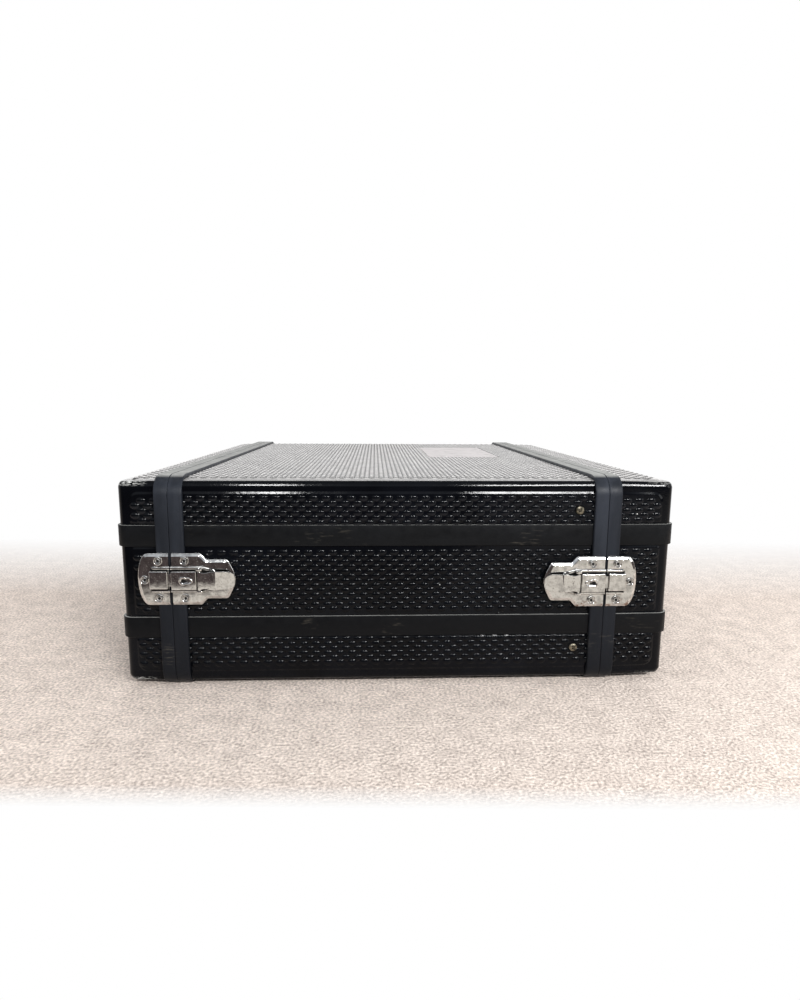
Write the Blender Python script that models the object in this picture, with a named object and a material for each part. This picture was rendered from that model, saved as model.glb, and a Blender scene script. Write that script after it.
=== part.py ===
"""Rack case for 19-inch equipment, four units high, with two lids that pull off its ends.

The front of the case is at +X, its rear at -X, and +Z is up. Lengths are in metres. The body is
a top shell, a bottom shell and two side panels, held together by H-section bands. A closure ring
with a tongue grips each end of it. Each lid is built the same way, and its ring has the groove.
Draw latches with a key lock hold the lids on.
"""

import math
from collections import namedtuple

import bmesh
import bpy
from mathutils import Vector

# Fits
CLEARANCE = 0.0003
CUT_OVERRUN = 0.002
SINK = 0.0005

# Case
CASE_LENGTH = 0.530
CASE_WIDTH = 0.540
CASE_HEIGHT = 0.2073
REAR_LID_DEPTH = 0.0491
FRONT_LID_DEPTH = 0.0664
SHELL_WALL = 0.003
SHELL_EDGE_RADIUS = 0.0095
LID_CORNER_RADIUS = 0.0095
LEAST_CORNER_RADIUS = 0.002
LID_DRAFT_DEG = 1.5

# Raised fields of the shells
FIELD_HEIGHT = 0.0008
FIELD_BEVEL = 0.0006
FIELD_BAND_MARGIN = 0.0006
FIELD_EDGE_MARGIN = 0.0004
FIELD_TOP_MARGIN = 0.0045
FIELD_LID_END_MARGIN = 0.0115

# Closure rings
RING_WIDTH = 0.013
RING_PROUD = 0.005
RING_EDGE_RADIUS = 0.020
RING_WEB = 0.003
RING_FLANGE_WALL = 0.0015
TONGUE_LENGTH = 0.004

# Joint bands
BAND_SPACING = 0.08945
BAND_RISE = 0.001775
BAND_HEIGHT = 0.0203
BAND_PROUD = 0.0022
BAND_WEB = 0.002
BAND_INNER_HEIGHT = 0.014
BAND_INNER_WALL = 0.0015

# Rack rails
RACK_UNIT = 0.04445
RACK_HEADROOM = 0.012
RACK_HOLE_EDGE = 0.00705
RACK_HOLE_FIRST = 0.00635
RACK_HOLES_PER_UNIT = 3
RACK_HOLE_RADIUS = 0.0025
RAIL_REACH = 0.0344
RAIL_END_PLAY = 0.0004
RAIL_SHEET = 0.002
RAIL_DEPTH = 0.030
RAIL_SETBACK = 0.012

# Rail screws
SCREW_SETBACK = 0.0268
SCREW_UPPER_SHARE = 0.42857
SCREW_LOWER_SHARE = 0.38741
SCREW_SHANK_RADIUS = 0.002
SCREW_HEAD_RADIUS = 0.0042
SCREW_HEAD_HEIGHT = 0.002
SCREW_PAST_RAIL = 0.003

# Latch plates
REAR_LATCH_SHARE = 0.42857
FRONT_LATCH_SHARE = -0.0566
PLATE_SHEET = 0.0015
PLATE_EDGE_FOLD = 0.0013
PLATE_SEAM_GAP = 0.0014
PLATE_HALF_HEIGHT = 0.025
CATCH_LENGTH = 0.0305
CATCH_STRAIGHT = 0.021
BASE_LENGTH = 0.0605
BASE_WIDE_LENGTH = 0.028
BASE_STEP_LENGTH = 0.0335
BASE_NARROW_HALF = 0.019
BASE_NARROW_LENGTH = 0.053
BASE_NOSE_LENGTH = 0.058
BASE_NOSE_HALF = 0.009

# Latch guide and keeper
GUIDE_INNER_HALF = 0.0093
GUIDE_WIDTH = 0.0032
GUIDE_RISE = 0.002
GUIDE_SLOPE = 0.001
BASE_GUIDE_END = 0.038
CATCH_GUIDE_END = 0.017
GUIDE_SEAM_STEP = 0.0004
KEEPER_HALF_HEIGHT = 0.0087
KEEPER_LENGTH = 0.019
KEEPER_WALL = 0.0017
KEEPER_ROOF = 0.0012
KEEPER_FLOOR_DIP = 0.0001
RIVET_RADIUS = 0.0031
RIVET_RISE = 0.001
RIVET_UP = 0.018
CATCH_RIVET_ALONG = 0.011
CATCH_END_RIVET_ALONG = 0.0238
BASE_RIVET_ALONG = 0.0134
BASE_END_RIVET_ALONG = 0.051

# Latch hook
HOOK_SHEET = 0.0015
HOOK_HALF_HEIGHT = 0.0061
HOOK_REACH = 0.012
HOOK_TAIL = 0.033

# Latch lock
LOCK_START = 0.0019
LOCK_END = 0.0252
LOCK_HALF_HEIGHT = 0.009
LOCK_RISE = 0.0052
PLUG_ALONG = 0.0132
PLUG_RADIUS = 0.004
PLUG_PROUD = 0.0002
KEY_HOLE_RADIUS = 0.0018
KEY_SLOT_HALF = 0.00055
KEY_SLOT_LENGTH = 0.0034
KEY_HOLE_DEPTH = 0.002

# Latch lever
LEVER_PIVOT_ALONG = 0.0278
LEVER_KNUCKLE_RADIUS = 0.0018
LEVER_SHEET = 0.0014
LEVER_HALF_HEIGHT = 0.0089
LEVER_FLAT_END = 0.043
LEVER_STEP = 0.003
LEVER_DROP = 0.0021
LEVER_TAB_END = 0.0565
LEVER_TIP = 0.0605
LEVER_TIP_HALF = 0.0066
LEVER_PIN_RADIUS = 0.0012
EAR_HALF_LENGTH = 0.0036
EAR_ABOVE_PIVOT = 0.0018

# Handle on the far side
HANDLE_PLACE_SHARE = 0.168612
HANDLE_PIVOT_OUT = 0.0069
HANDLE_SPAN = 0.132
HANDLE_DROP = 0.035
HANDLE_PIN_RADIUS = 0.0025
HANDLE_ARM_RADIUS = 0.003
HANDLE_GRIP_RADIUS = 0.0054
HANDLE_BEND = 0.009
BRACKET_HALF_LENGTH = 0.009
BRACKET_ABOVE = 0.009
BRACKET_BELOW = 0.021
BRACKET_SHEET = 0.0018
EYE_HALF_LENGTH = 0.003
EYE_HALF_HEIGHT = 0.0052
BRACKET_RIVET_DROP = 0.014

# Label plate on the top
LABEL_SEAM_GAP = 0.0566
LABEL_LENGTH = 0.094
LABEL_START_Y = -0.018
LABEL_WIDTH = 0.172
LABEL_SHEET = 0.0008

# Counts
CORNER_STEPS = 5
ROUND_SIDES = 10
PLUG_SIDES = 16
HOLE_SIDES = 8
ARC_STEPS = 6
SMOOTH_ANGLE_DEG = 32.0

# Sizes that follow
SHELL_HALF_WIDTH = CASE_WIDTH / 2 - RING_PROUD
SHELL_HALF_HEIGHT = CASE_HEIGHT / 2 - RING_PROUD
MID_Z = CASE_HEIGHT / 2
SHELL_TOP_Z = MID_Z + SHELL_HALF_HEIGHT
SHELL_BOTTOM_Z = MID_Z - SHELL_HALF_HEIGHT
REAR_SEAM_X = -CASE_LENGTH / 2 + REAR_LID_DEPTH
FRONT_SEAM_X = CASE_LENGTH / 2 - FRONT_LID_DEPTH
PANEL_MID_Z = MID_Z + BAND_RISE
UPPER_BAND_Z = PANEL_MID_Z + BAND_SPACING / 2
LOWER_BAND_Z = PANEL_MID_Z - BAND_SPACING / 2
PANEL_TOP_Z = UPPER_BAND_Z - BAND_HEIGHT / 2
PANEL_LOW_Z = LOWER_BAND_Z + BAND_HEIGHT / 2
JOINT_HALF = BAND_WEB / 2 + CLEARANCE
LID_WEB = RING_WEB + TONGUE_LENGTH + CLEARANCE
FIELD_START = BAND_HEIGHT / 2 + FIELD_BAND_MARGIN - JOINT_HALF
OVER_FIELD = FIELD_HEIGHT + CLEARANCE
BAND_END = RING_WIDTH + CLEARANCE
INNER_SEAT = SHELL_WALL + CLEARANCE
RING_INNER = INNER_SEAT + RING_FLANGE_WALL
BAND_INNER = INNER_SEAT + BAND_INNER_WALL
RAIL_SEAT = max(RING_INNER, BAND_INNER) + CLEARANCE
RACK_OPENING = 2 * (SHELL_HALF_WIDTH - RAIL_SEAT - RAIL_REACH)
RACK_HOLE_SPACING = RACK_OPENING + 2 * RACK_HOLE_EDGE
RACK_HOLE_STEP = (RACK_UNIT - 2 * RACK_HOLE_FIRST) / (RACK_HOLES_PER_UNIT - 1)
RACK_UNITS = int((CASE_HEIGHT - 2 * RACK_HEADROOM) / RACK_UNIT)
SCREW_UPPER_FLAT = SHELL_TOP_Z - SHELL_EDGE_RADIUS - UPPER_BAND_Z - BAND_HEIGHT / 2
SCREW_LOWER_FLAT = LOWER_BAND_Z - BAND_HEIGHT / 2 - SHELL_BOTTOM_Z - SHELL_EDGE_RADIUS
SCREW_UPPER_Z = UPPER_BAND_Z + BAND_HEIGHT / 2 + SCREW_UPPER_FLAT * SCREW_UPPER_SHARE
SCREW_LOWER_Z = LOWER_BAND_Z - BAND_HEIGHT / 2 - SCREW_LOWER_FLAT * SCREW_LOWER_SHARE
LATCH_PLAY = (PANEL_TOP_Z - PANEL_LOW_Z) / 2 - PLATE_HALF_HEIGHT
REAR_LATCH_Z = PANEL_MID_Z + LATCH_PLAY * REAR_LATCH_SHARE
FRONT_LATCH_Z = PANEL_MID_Z + LATCH_PLAY * FRONT_LATCH_SHARE
BRACKET_PLAY = PANEL_TOP_Z - PANEL_LOW_Z - BRACKET_ABOVE - BRACKET_BELOW
HANDLE_PIVOT_Z = PANEL_TOP_Z - BRACKET_PLAY * HANDLE_PLACE_SHARE - BRACKET_ABOVE
LABEL_START_X = FRONT_SEAM_X - LABEL_SEAM_GAP - LABEL_LENGTH
PLATE_SEAT = RING_PROUD + CLEARANCE
PLATE_TOP = PLATE_SEAT + PLATE_SHEET
HOOK_BOTTOM = PLATE_TOP + CLEARANCE
HOOK_TOP = HOOK_BOTTOM + HOOK_SHEET
TUNNEL_ROOF = HOOK_TOP + CLEARANCE
TUNNEL_HALF = HOOK_HALF_HEIGHT + CLEARANCE
LOCK_TOP = PLATE_TOP + LOCK_RISE
PIVOT_OUT = TUNNEL_ROOF + CLEARANCE + LEVER_KNUCKLE_RADIUS
LEVER_TOP = PIVOT_OUT + LEVER_KNUCKLE_RADIUS

End = namedtuple("End", "name seam out depth latch_z")
REAR = End("rear", REAR_SEAM_X, -1, REAR_LID_DEPTH, REAR_LATCH_Z)
FRONT = End("front", FRONT_SEAM_X, 1, FRONT_LID_DEPTH, FRONT_LATCH_Z)
SIDES = (("near", -1), ("far", 1))

Station = namedtuple("Station", "kind side value raised")
Level = namedtuple("Level", "height inset raised")


class Seat:
    """Turns lengths along, out from and up the side of the case into places in the world."""

    def __init__(self, x, along, side, z):
        self.x = x
        self.along = along
        self.side = side
        self.z = z

    def at(self, along, out, up):
        y = self.side * (SHELL_HALF_WIDTH + out)
        return Vector((self.x + self.along * along, y, self.z + up))


# Materials


def make_material(name, colour, roughness, metallic):
    """One Principled material."""
    material = bpy.data.materials.new(name)
    material.use_nodes = True
    shader = material.node_tree.nodes["Principled BSDF"]
    shader.inputs["Base Color"].default_value = (*colour, 1.0)
    shader.inputs["Roughness"].default_value = roughness
    shader.inputs["Metallic"].default_value = metallic
    material.diffuse_color = (*colour, 1.0)
    return material


def make_materials():
    """All materials of the case, by name."""
    table = {
        "abs_shell": ((0.010, 0.011, 0.015), 0.28, 0.0),
        "pvc_profile": ((0.022, 0.023, 0.026), 0.60, 0.0),
        "chromed_steel": ((0.66, 0.65, 0.62), 0.22, 1.0),
        "zinc_screw": ((0.50, 0.44, 0.28), 0.35, 1.0),
        "rail_steel": ((0.30, 0.31, 0.32), 0.45, 1.0),
        "label_aluminium": ((0.62, 0.57, 0.56), 0.40, 1.0),
        "handle_plastic": ((0.014, 0.014, 0.015), 0.55, 0.0),
    }
    return {name: make_material(name, *look) for name, look in table.items()}


# Solids


def loft(loops, closed=False):
    """Closed solid through loops of equal count, with flat ends unless it closes on itself."""
    bm = bmesh.new()
    rows = [[bm.verts.new(point) for point in loop] for loop in loops]
    pairs = list(zip(rows, rows[1:]))
    if closed:
        pairs.append((rows[-1], rows[0]))
    else:
        bm.faces.new(rows[0])
        bm.faces.new(rows[-1])
    for low, high in pairs:
        for i, corner in enumerate(low):
            j = (i + 1) % len(low)
            bm.faces.new((corner, low[j], high[j], high[i]))
    bmesh.ops.recalc_face_normals(bm, faces=bm.faces)
    return bm


def gather(parts):
    """Several solids that stay apart, in one mesh."""
    whole = bmesh.new()
    for part in parts:
        mesh = bpy.data.meshes.new("gathered")
        part.to_mesh(mesh)
        part.free()
        whole.from_mesh(mesh)
        bpy.data.meshes.remove(mesh)
    return whole


def circle(radius, sides, centre=(0, 0)):
    """Points of a circle in a plane."""
    turns = [math.tau * i / sides for i in range(sides)]
    return [(centre[0] + radius * math.cos(t), centre[1] + radius * math.sin(t)) for t in turns]


def inset_outline(outline, distance):
    """The outline with each side moved inward; the points run counter-clockwise."""
    result = []
    for i, point in enumerate(outline):
        before = Vector(outline[i - 1])
        here = Vector(point)
        after = Vector(outline[(i + 1) % len(outline)])
        first = (here - before).normalized()
        second = (after - here).normalized()
        inward = Vector((-first.y, first.x)) + Vector((-second.y, second.x))
        inward.normalize()
        share = inward.dot(Vector((-first.y, first.x)))
        result.append(tuple(here + inward * (distance / share)))
    return result


def plate_solid(seat, outline, out_low, out_high):
    """An outline along and up the side of the case, raised outward."""
    loops = [[seat.at(a, out, u) for a, u in outline] for out in (out_low, out_high)]
    return loft(loops)


def bar_solid(seat, profile, up_low, up_high):
    """A profile along and out from the side of the case, stretched upward."""
    loops = [[seat.at(a, out, up) for a, out in profile] for up in (up_low, up_high)]
    return loft(loops)


def run_solid(seat, profile, along_low, along_high):
    """A profile up and out from the side of the case, stretched along it."""
    ends = (along_low, along_high)
    loops = [[seat.at(along, out, up) for up, out in profile] for along in ends]
    return loft(loops)


def block_solid(seat, along, out, up):
    """A block between pairs of limits."""
    outline = [(along[0], up[0]), (along[1], up[0]), (along[1], up[1]), (along[0], up[1])]
    return plate_solid(seat, outline, *out)


def rivet_solid(seat, along, up, out_low):
    """A rivet's low round head, rooted in its plate."""
    steps = ((1.0, -SINK), (1.0, RIVET_RISE / 2), (0.62, RIVET_RISE))
    loops = []
    for radius_share, rise in steps:
        ring = circle(RIVET_RADIUS * radius_share, ROUND_SIDES, (along, up))
        loops.append([seat.at(a, out_low + rise, u) for a, u in ring])
    return loft(loops)


# Objects


def add_object(name, bm, material, origin, parent):
    """A named piece whose own origin is at the given place."""
    centre = Vector(origin)
    bmesh.ops.translate(bm, verts=bm.verts, vec=-centre)
    mesh = bpy.data.meshes.new(name)
    bm.to_mesh(mesh)
    bm.free()
    mesh.shade_smooth()
    mesh.set_sharp_from_angle(angle=math.radians(SMOOTH_ANGLE_DEG))
    obj = bpy.data.objects.new(name, mesh)
    obj.data.materials.append(material)
    bpy.context.scene.collection.objects.link(obj)
    obj.parent = parent
    obj.location = centre - parent.location
    return obj


def add_cutter(name, bm):
    """A guide solid that only serves a Boolean."""
    mesh = bpy.data.meshes.new(name)
    bm.to_mesh(mesh)
    bm.free()
    obj = bpy.data.objects.new(name, mesh)
    obj.hide_render = True
    obj.display_type = "WIRE"
    bpy.context.scene.collection.objects.link(obj)
    return obj


def combine(obj, operation, other):
    """Join another solid to a piece, or cut it out."""
    modifier = obj.modifiers.new(operation.lower(), "BOOLEAN")
    modifier.operation = operation
    modifier.solver = "EXACT"
    modifier.object = other


def add_frame(name, place):
    """An empty that carries a group of pieces."""
    empty = bpy.data.objects.new(name, None)
    empty.empty_display_type = "PLAIN_AXES"
    empty.location = place
    bpy.context.scene.collection.objects.link(empty)
    return empty


# Closure rings


def ring_loop(end, along, offset, radius):
    """A rounded rectangle round the case, at a distance from the seam toward the body."""
    half_width = SHELL_HALF_WIDTH + offset
    half_height = SHELL_HALF_HEIGHT + offset
    x = end.seam - end.out * along
    loop = []
    for quarter, (side_y, side_z) in enumerate(((1, 1), (-1, 1), (-1, -1), (1, -1))):
        centre_y = side_y * (half_width - radius)
        centre_z = side_z * (half_height - radius)
        for step in range(CORNER_STEPS + 1):
            angle = math.pi / 2 * (quarter + step / CORNER_STEPS)
            y = centre_y + radius * math.cos(angle)
            z = centre_z + radius * math.sin(angle)
            loop.append(Vector((x, y, MID_Z + z)))
    return loop


def ring_profile(web, seam_face, joint):
    """Section of a ring that grips a shell's edge; joint is its tongue or its groove."""
    outer = [(seam_face, RING_PROUD), (RING_WIDTH, RING_PROUD), (RING_WIDTH, OVER_FIELD)]
    slot = [(web, OVER_FIELD), (web, -INNER_SEAT)]
    flange = [(RING_WIDTH, -INNER_SEAT), (RING_WIDTH, -RING_INNER), (seam_face, -RING_INNER)]
    return outer + slot + flange + joint


def ring_solid(end, direction, profile):
    """A ring from its section; direction is 1 toward the body and -1 toward the lid."""
    loops = []
    for along, offset in profile:
        radius = SHELL_EDGE_RADIUS + offset
        if offset == RING_PROUD:
            radius = RING_EDGE_RADIUS
        loops.append(ring_loop(end, direction * along, offset, radius))
    return loft(loops, closed=True)


def body_ring(end):
    """The ring with the tongue."""
    tongue = [(0, -SHELL_WALL), (-TONGUE_LENGTH, -SHELL_WALL), (-TONGUE_LENGTH, 0), (0, 0)]
    return ring_solid(end, 1, ring_profile(RING_WEB, 0, tongue))


def lid_ring(end):
    """The ring with the groove."""
    low = -SHELL_WALL - CLEARANCE
    floor = CLEARANCE + TONGUE_LENGTH
    groove = [(CLEARANCE, low), (floor, low), (floor, CLEARANCE), (CLEARANCE, CLEARANCE)]
    return ring_solid(end, -1, ring_profile(LID_WEB, CLEARANCE, groove))


# Body shells


def arc_points(centre, radius, start_deg, end_deg):
    """Points of an arc, both ends included."""
    points = []
    for step in range(CORNER_STEPS + 1):
        angle = math.radians(start_deg + (end_deg - start_deg) * step / CORNER_STEPS)
        points.append((centre[0] + radius * math.cos(angle), centre[1] + radius * math.sin(angle)))
    return points


def shell_half(rise):
    """Half of a shell's outer section: out from the middle plane, and up from its joint."""
    side = SHELL_HALF_WIDTH
    raised = side + FIELD_HEIGHT
    field_end = rise - SHELL_EDGE_RADIUS - FIELD_EDGE_MARGIN
    top_field = side - SHELL_EDGE_RADIUS - FIELD_TOP_MARGIN
    points = [(side, 0), (side, FIELD_START), (raised, FIELD_START + FIELD_BEVEL)]
    points += [(raised, field_end - FIELD_BEVEL), (side, field_end)]
    centre = (side - SHELL_EDGE_RADIUS, rise - SHELL_EDGE_RADIUS)
    points += arc_points(centre, SHELL_EDGE_RADIUS, 0, 90)
    points += [(top_field, rise), (top_field - FIELD_BEVEL, rise + FIELD_HEIGHT)]
    return points


def shell_section(joint_z, outer_z):
    """Whole section of a U-shaped shell, in the plane across the case."""
    rise = abs(outer_z - joint_z)
    up = math.copysign(1, outer_z - joint_z)
    outer = shell_half(rise)
    centre = (SHELL_HALF_WIDTH - SHELL_EDGE_RADIUS, rise - SHELL_EDGE_RADIUS)
    inner = [(SHELL_HALF_WIDTH - SHELL_WALL, 0)]
    inner += arc_points(centre, SHELL_EDGE_RADIUS - SHELL_WALL, 0, 90)
    loop = outer + [(-y, z) for y, z in reversed(outer)]
    loop += [(-y, z) for y, z in inner] + list(reversed(inner))
    return [(y, joint_z + up * z) for y, z in loop]


def along_body(section):
    """A section stretched between the two closure rings' webs."""
    ends = (REAR.seam + RING_WEB + CLEARANCE, FRONT.seam - RING_WEB - CLEARANCE)
    return loft([[Vector((x, y, z)) for y, z in section] for x in ends])


def side_panel(side):
    """A side panel with its raised field, between the two joint bands."""
    low = LOWER_BAND_Z + JOINT_HALF
    high = UPPER_BAND_Z - JOINT_HALF
    face = SHELL_HALF_WIDTH
    raised = face + FIELD_HEIGHT
    section = [(face, low), (face, low + FIELD_START), (raised, low + FIELD_START + FIELD_BEVEL)]
    section += [(raised, high - FIELD_START - FIELD_BEVEL), (face, high - FIELD_START)]
    section += [(face, high), (face - SHELL_WALL, high), (face - SHELL_WALL, low)]
    return along_body([(side * y, z) for y, z in section])


def band_profile():
    """H section of a joint band: out from the shell's face, and up from the joint."""
    outer = BAND_HEIGHT / 2
    inner = BAND_INNER_HEIGHT / 2
    web = BAND_WEB / 2
    half = [(BAND_PROUD, outer), (CLEARANCE, outer), (CLEARANCE, web)]
    half += [(-INNER_SEAT, web), (-INNER_SEAT, inner), (-BAND_INNER, inner)]
    return half + [(out, -up) for out, up in reversed(half)]


def body_band(side, z):
    """A straight joint band along one side of the body."""
    seat = Seat(REAR.seam, 1, side, z)
    length = FRONT.seam - REAR.seam
    profile = [(up, out) for out, up in band_profile()]
    return run_solid(seat, profile, BAND_END, length - BAND_END)


# Lids


def plan_point(depth, offset, station):
    """A point of a lid's outline in plan: out from the seam, and across the case."""
    draft = math.radians(LID_DRAFT_DEG)
    slope = math.tan(draft)
    side_y = SHELL_HALF_WIDTH + offset / math.cos(draft)
    if station.kind == "side":
        tapered = max(0, station.value - RING_WIDTH)
        return station.value, station.side * (side_y - tapered * slope)
    if station.kind == "end":
        return depth + offset, station.side * station.value
    radius = max(LID_CORNER_RADIUS + offset, LEAST_CORNER_RADIUS)
    centre_s = depth + offset - radius
    centre_y = side_y - (centre_s - RING_WIDTH) * slope - radius / math.cos(draft)
    angle = (math.pi / 2 - draft) * (1 - station.value)
    y = centre_y + radius * math.sin(angle)
    return centre_s + radius * math.cos(angle), station.side * y


def lid_stations(depth, start, with_fields):
    """Stations along a lid's outline, from the near side round to the far side."""
    half = [Station("side", -1, start, 1)]
    field_end = depth - FIELD_LID_END_MARGIN
    end_field = SHELL_HALF_WIDTH - FIELD_LID_END_MARGIN
    if with_fields:
        half.append(Station("side", -1, RING_WIDTH, 1))
        half.append(Station("side", -1, field_end - FIELD_BEVEL, 1))
        half.append(Station("side", -1, field_end, 0))
    for step in range(CORNER_STEPS + 1):
        half.append(Station("corner", -1, step / CORNER_STEPS, 0))
    if with_fields:
        half.append(Station("end", -1, end_field, 0))
        half.append(Station("end", -1, end_field - FIELD_BEVEL, 1))
    return half + [item._replace(side=1) for item in reversed(half)]


def lid_row(end, stations, level, place):
    """World points of all stations at one level; place turns a height into a world height."""
    row = []
    for station in stations:
        offset = FIELD_HEIGHT * station.raised * level.raised - level.inset
        out, y = plan_point(end.depth, offset, station)
        row.append(Vector((end.seam + end.out * out, y, place(level.height, out))))
    return row


def wall_levels(rise, margin):
    """Outer levels of an upright wall with a raised field."""
    return [
        Level(0, 0, 0),
        Level(FIELD_START, 0, 0),
        Level(FIELD_START + FIELD_BEVEL, 0, 1),
        Level(rise - margin - FIELD_BEVEL, 0, 1),
        Level(rise - margin, 0, 0),
    ]


def cap_levels(rise):
    """Outer and inner levels of a lid's top or bottom shell."""
    outer = wall_levels(rise, SHELL_EDGE_RADIUS + FIELD_EDGE_MARGIN)
    inner = [Level(0, SHELL_WALL, 0)]
    base = rise - SHELL_EDGE_RADIUS
    inner_radius = SHELL_EDGE_RADIUS - SHELL_WALL
    for step in range(CORNER_STEPS + 1):
        angle = math.pi / 2 * step / CORNER_STEPS
        rise_share = math.sin(angle)
        inset_share = 1 - math.cos(angle)
        height = base + SHELL_EDGE_RADIUS * rise_share
        outer.append(Level(height, SHELL_EDGE_RADIUS * inset_share, 0))
        inner_height = base + inner_radius * rise_share
        inner.append(Level(inner_height, SHELL_WALL + inner_radius * inset_share, 0))
    field_inset = SHELL_EDGE_RADIUS + FIELD_TOP_MARGIN
    outer.append(Level(rise, field_inset, 0))
    outer.append(Level(rise + FIELD_HEIGHT, field_inset + FIELD_BEVEL, 0))
    return outer, inner


def stitch(bm, low, high):
    """Faces between two open rows of points."""
    for i in range(len(low) - 1):
        bm.faces.new((low[i], low[i + 1], high[i + 1], high[i]))


def lid_shell(outer_points, inner_points, capped):
    """A bent wall from rows of outer and inner points, with a roof where it is capped."""
    bm = bmesh.new()
    outer = [[bm.verts.new(point) for point in row] for row in outer_points]
    inner = [[bm.verts.new(point) for point in row] for row in inner_points]
    for rows in (outer, inner):
        for low, high in zip(rows, rows[1:]):
            stitch(bm, low, high)
    stitch(bm, outer[0], inner[0])
    near = [row[0] for row in outer]
    far = [row[-1] for row in outer]
    near_inner = [row[0] for row in inner]
    far_inner = [row[-1] for row in inner]
    if capped:
        bm.faces.new(outer[-1])
        bm.faces.new(inner[-1])
        bm.faces.new(near + far[::-1] + far_inner + near_inner[::-1])
    else:
        stitch(bm, outer[-1], inner[-1])
        bm.faces.new(near + near_inner[::-1])
        bm.faces.new(far + far_inner[::-1])
    bmesh.ops.recalc_face_normals(bm, faces=bm.faces)
    return bm


def lid_cap(end, joint_z, outer_z):
    """A lid's top or bottom shell, with draft toward the lid's end."""
    rise = abs(outer_z - joint_z)
    up = math.copysign(1, outer_z - joint_z)
    slope = math.tan(math.radians(LID_DRAFT_DEG))
    start = LID_WEB + CLEARANCE

    def place(height, out):
        share = max(0, (height - FIELD_START) / (rise - FIELD_START))
        return joint_z + up * (height - slope * max(0, out - RING_WIDTH) * share)

    outer, inner = cap_levels(rise)
    stations = lid_stations(end.depth, start, True)
    outer_rows = [lid_row(end, stations, level, place) for level in outer]
    inner_rows = [lid_row(end, stations, level, place) for level in inner]
    return lid_shell(outer_rows, inner_rows, True)


def lid_middle(end):
    """A lid's middle wall, between its two bands."""
    low = LOWER_BAND_Z + JOINT_HALF
    rise = UPPER_BAND_Z - JOINT_HALF - low

    def place(height, out):
        return low + height

    outer = wall_levels(rise, FIELD_START) + [Level(rise, 0, 0)]
    inner = [Level(0, SHELL_WALL, 0), Level(rise, SHELL_WALL, 0)]
    stations = lid_stations(end.depth, LID_WEB + CLEARANCE, True)
    outer_rows = [lid_row(end, stations, level, place) for level in outer]
    inner_rows = [lid_row(end, stations, level, place) for level in inner]
    return lid_shell(outer_rows, inner_rows, False)


def lid_band(end, z):
    """A joint band bent round a lid."""
    stations = lid_stations(end.depth, BAND_END, False)
    loops = []
    for station in stations:
        loop = []
        for offset, up in band_profile():
            out, y = plan_point(end.depth, offset, station)
            loop.append(Vector((end.seam + end.out * out, y, z + up)))
        loops.append(loop)
    return loft(loops)


# Rack rails


def rail_section(side):
    """Angle section of a rail in plan: front flange and side leg."""
    front = FRONT.seam - RAIL_SETBACK
    outer = SHELL_HALF_WIDTH - RAIL_SEAT
    inner = outer - RAIL_REACH
    back = front - RAIL_DEPTH
    points = [(front, inner), (front, outer), (back, outer), (back, outer - RAIL_SHEET)]
    points += [(front - RAIL_SHEET, outer - RAIL_SHEET), (front - RAIL_SHEET, inner)]
    return [(x, side * y) for x, y in points]


def rail_solid(side):
    """A rail as high as its rack units, centred in the case."""
    half = RACK_UNIT * RACK_UNITS / 2 - RAIL_END_PLAY
    heights = (MID_Z - half, MID_Z + half)
    return loft([[Vector((x, y, z)) for x, y in rail_section(side)] for z in heights])


def rack_hole_heights():
    """Heights of the rack holes, unit by unit."""
    base = MID_Z - RACK_UNIT * RACK_UNITS / 2
    heights = []
    for unit in range(RACK_UNITS):
        for hole in range(RACK_HOLES_PER_UNIT):
            heights.append(base + RACK_UNIT * unit + RACK_HOLE_FIRST + RACK_HOLE_STEP * hole)
    return heights


def rack_holes(side):
    """Cutters for the rack holes of one rail."""
    front = FRONT.seam - RAIL_SETBACK
    ends = (front - RAIL_SHEET - CUT_OVERRUN, front + CUT_OVERRUN)
    holes = []
    for height in rack_hole_heights():
        ring = circle(RACK_HOLE_RADIUS, HOLE_SIDES, (side * RACK_HOLE_SPACING / 2, height))
        holes.append(loft([[Vector((x, y, z)) for y, z in ring] for x in ends]))
    return gather(holes)


def screw_seats():
    """Seat of each rail screw on the side of the case."""
    x = FRONT.seam - SCREW_SETBACK
    heights = (("upper", SCREW_UPPER_Z), ("lower", SCREW_LOWER_Z))
    seats = []
    for side_name, side in SIDES:
        for level_name, z in heights:
            seats.append((f"rail_screw_{side_name}_{level_name}", Seat(x, 1, side, z)))
    return seats


def screw_solid(seat):
    """A pan-head screw, through the shell and into the rail."""
    tip = -(RAIL_SEAT + RAIL_SHEET + SCREW_PAST_RAIL)
    neck = OVER_FIELD
    top = neck + SCREW_HEAD_HEIGHT
    middle = neck + SCREW_HEAD_HEIGHT / 2
    head_share = 0.55
    steps = [(SCREW_SHANK_RADIUS, tip), (SCREW_SHANK_RADIUS, neck), (SCREW_HEAD_RADIUS, neck)]
    steps += [(SCREW_HEAD_RADIUS, middle), (SCREW_HEAD_RADIUS * head_share, top)]
    loops = []
    for radius, out in steps:
        loops.append([seat.at(a, out, u) for a, u in circle(radius, ROUND_SIDES)])
    return loft(loops)


def screw_holes():
    """Cutters for the rail screws, through the shells and the rails."""
    tip = -(RAIL_SEAT + RAIL_SHEET + CUT_OVERRUN)
    holes = []
    for _, seat in screw_seats():
        ring = circle(SCREW_SHANK_RADIUS + CLEARANCE, ROUND_SIDES)
        holes.append(plate_solid(seat, ring, tip, FIELD_HEIGHT + CUT_OVERRUN))
    return gather(holes)


# Latches


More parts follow.
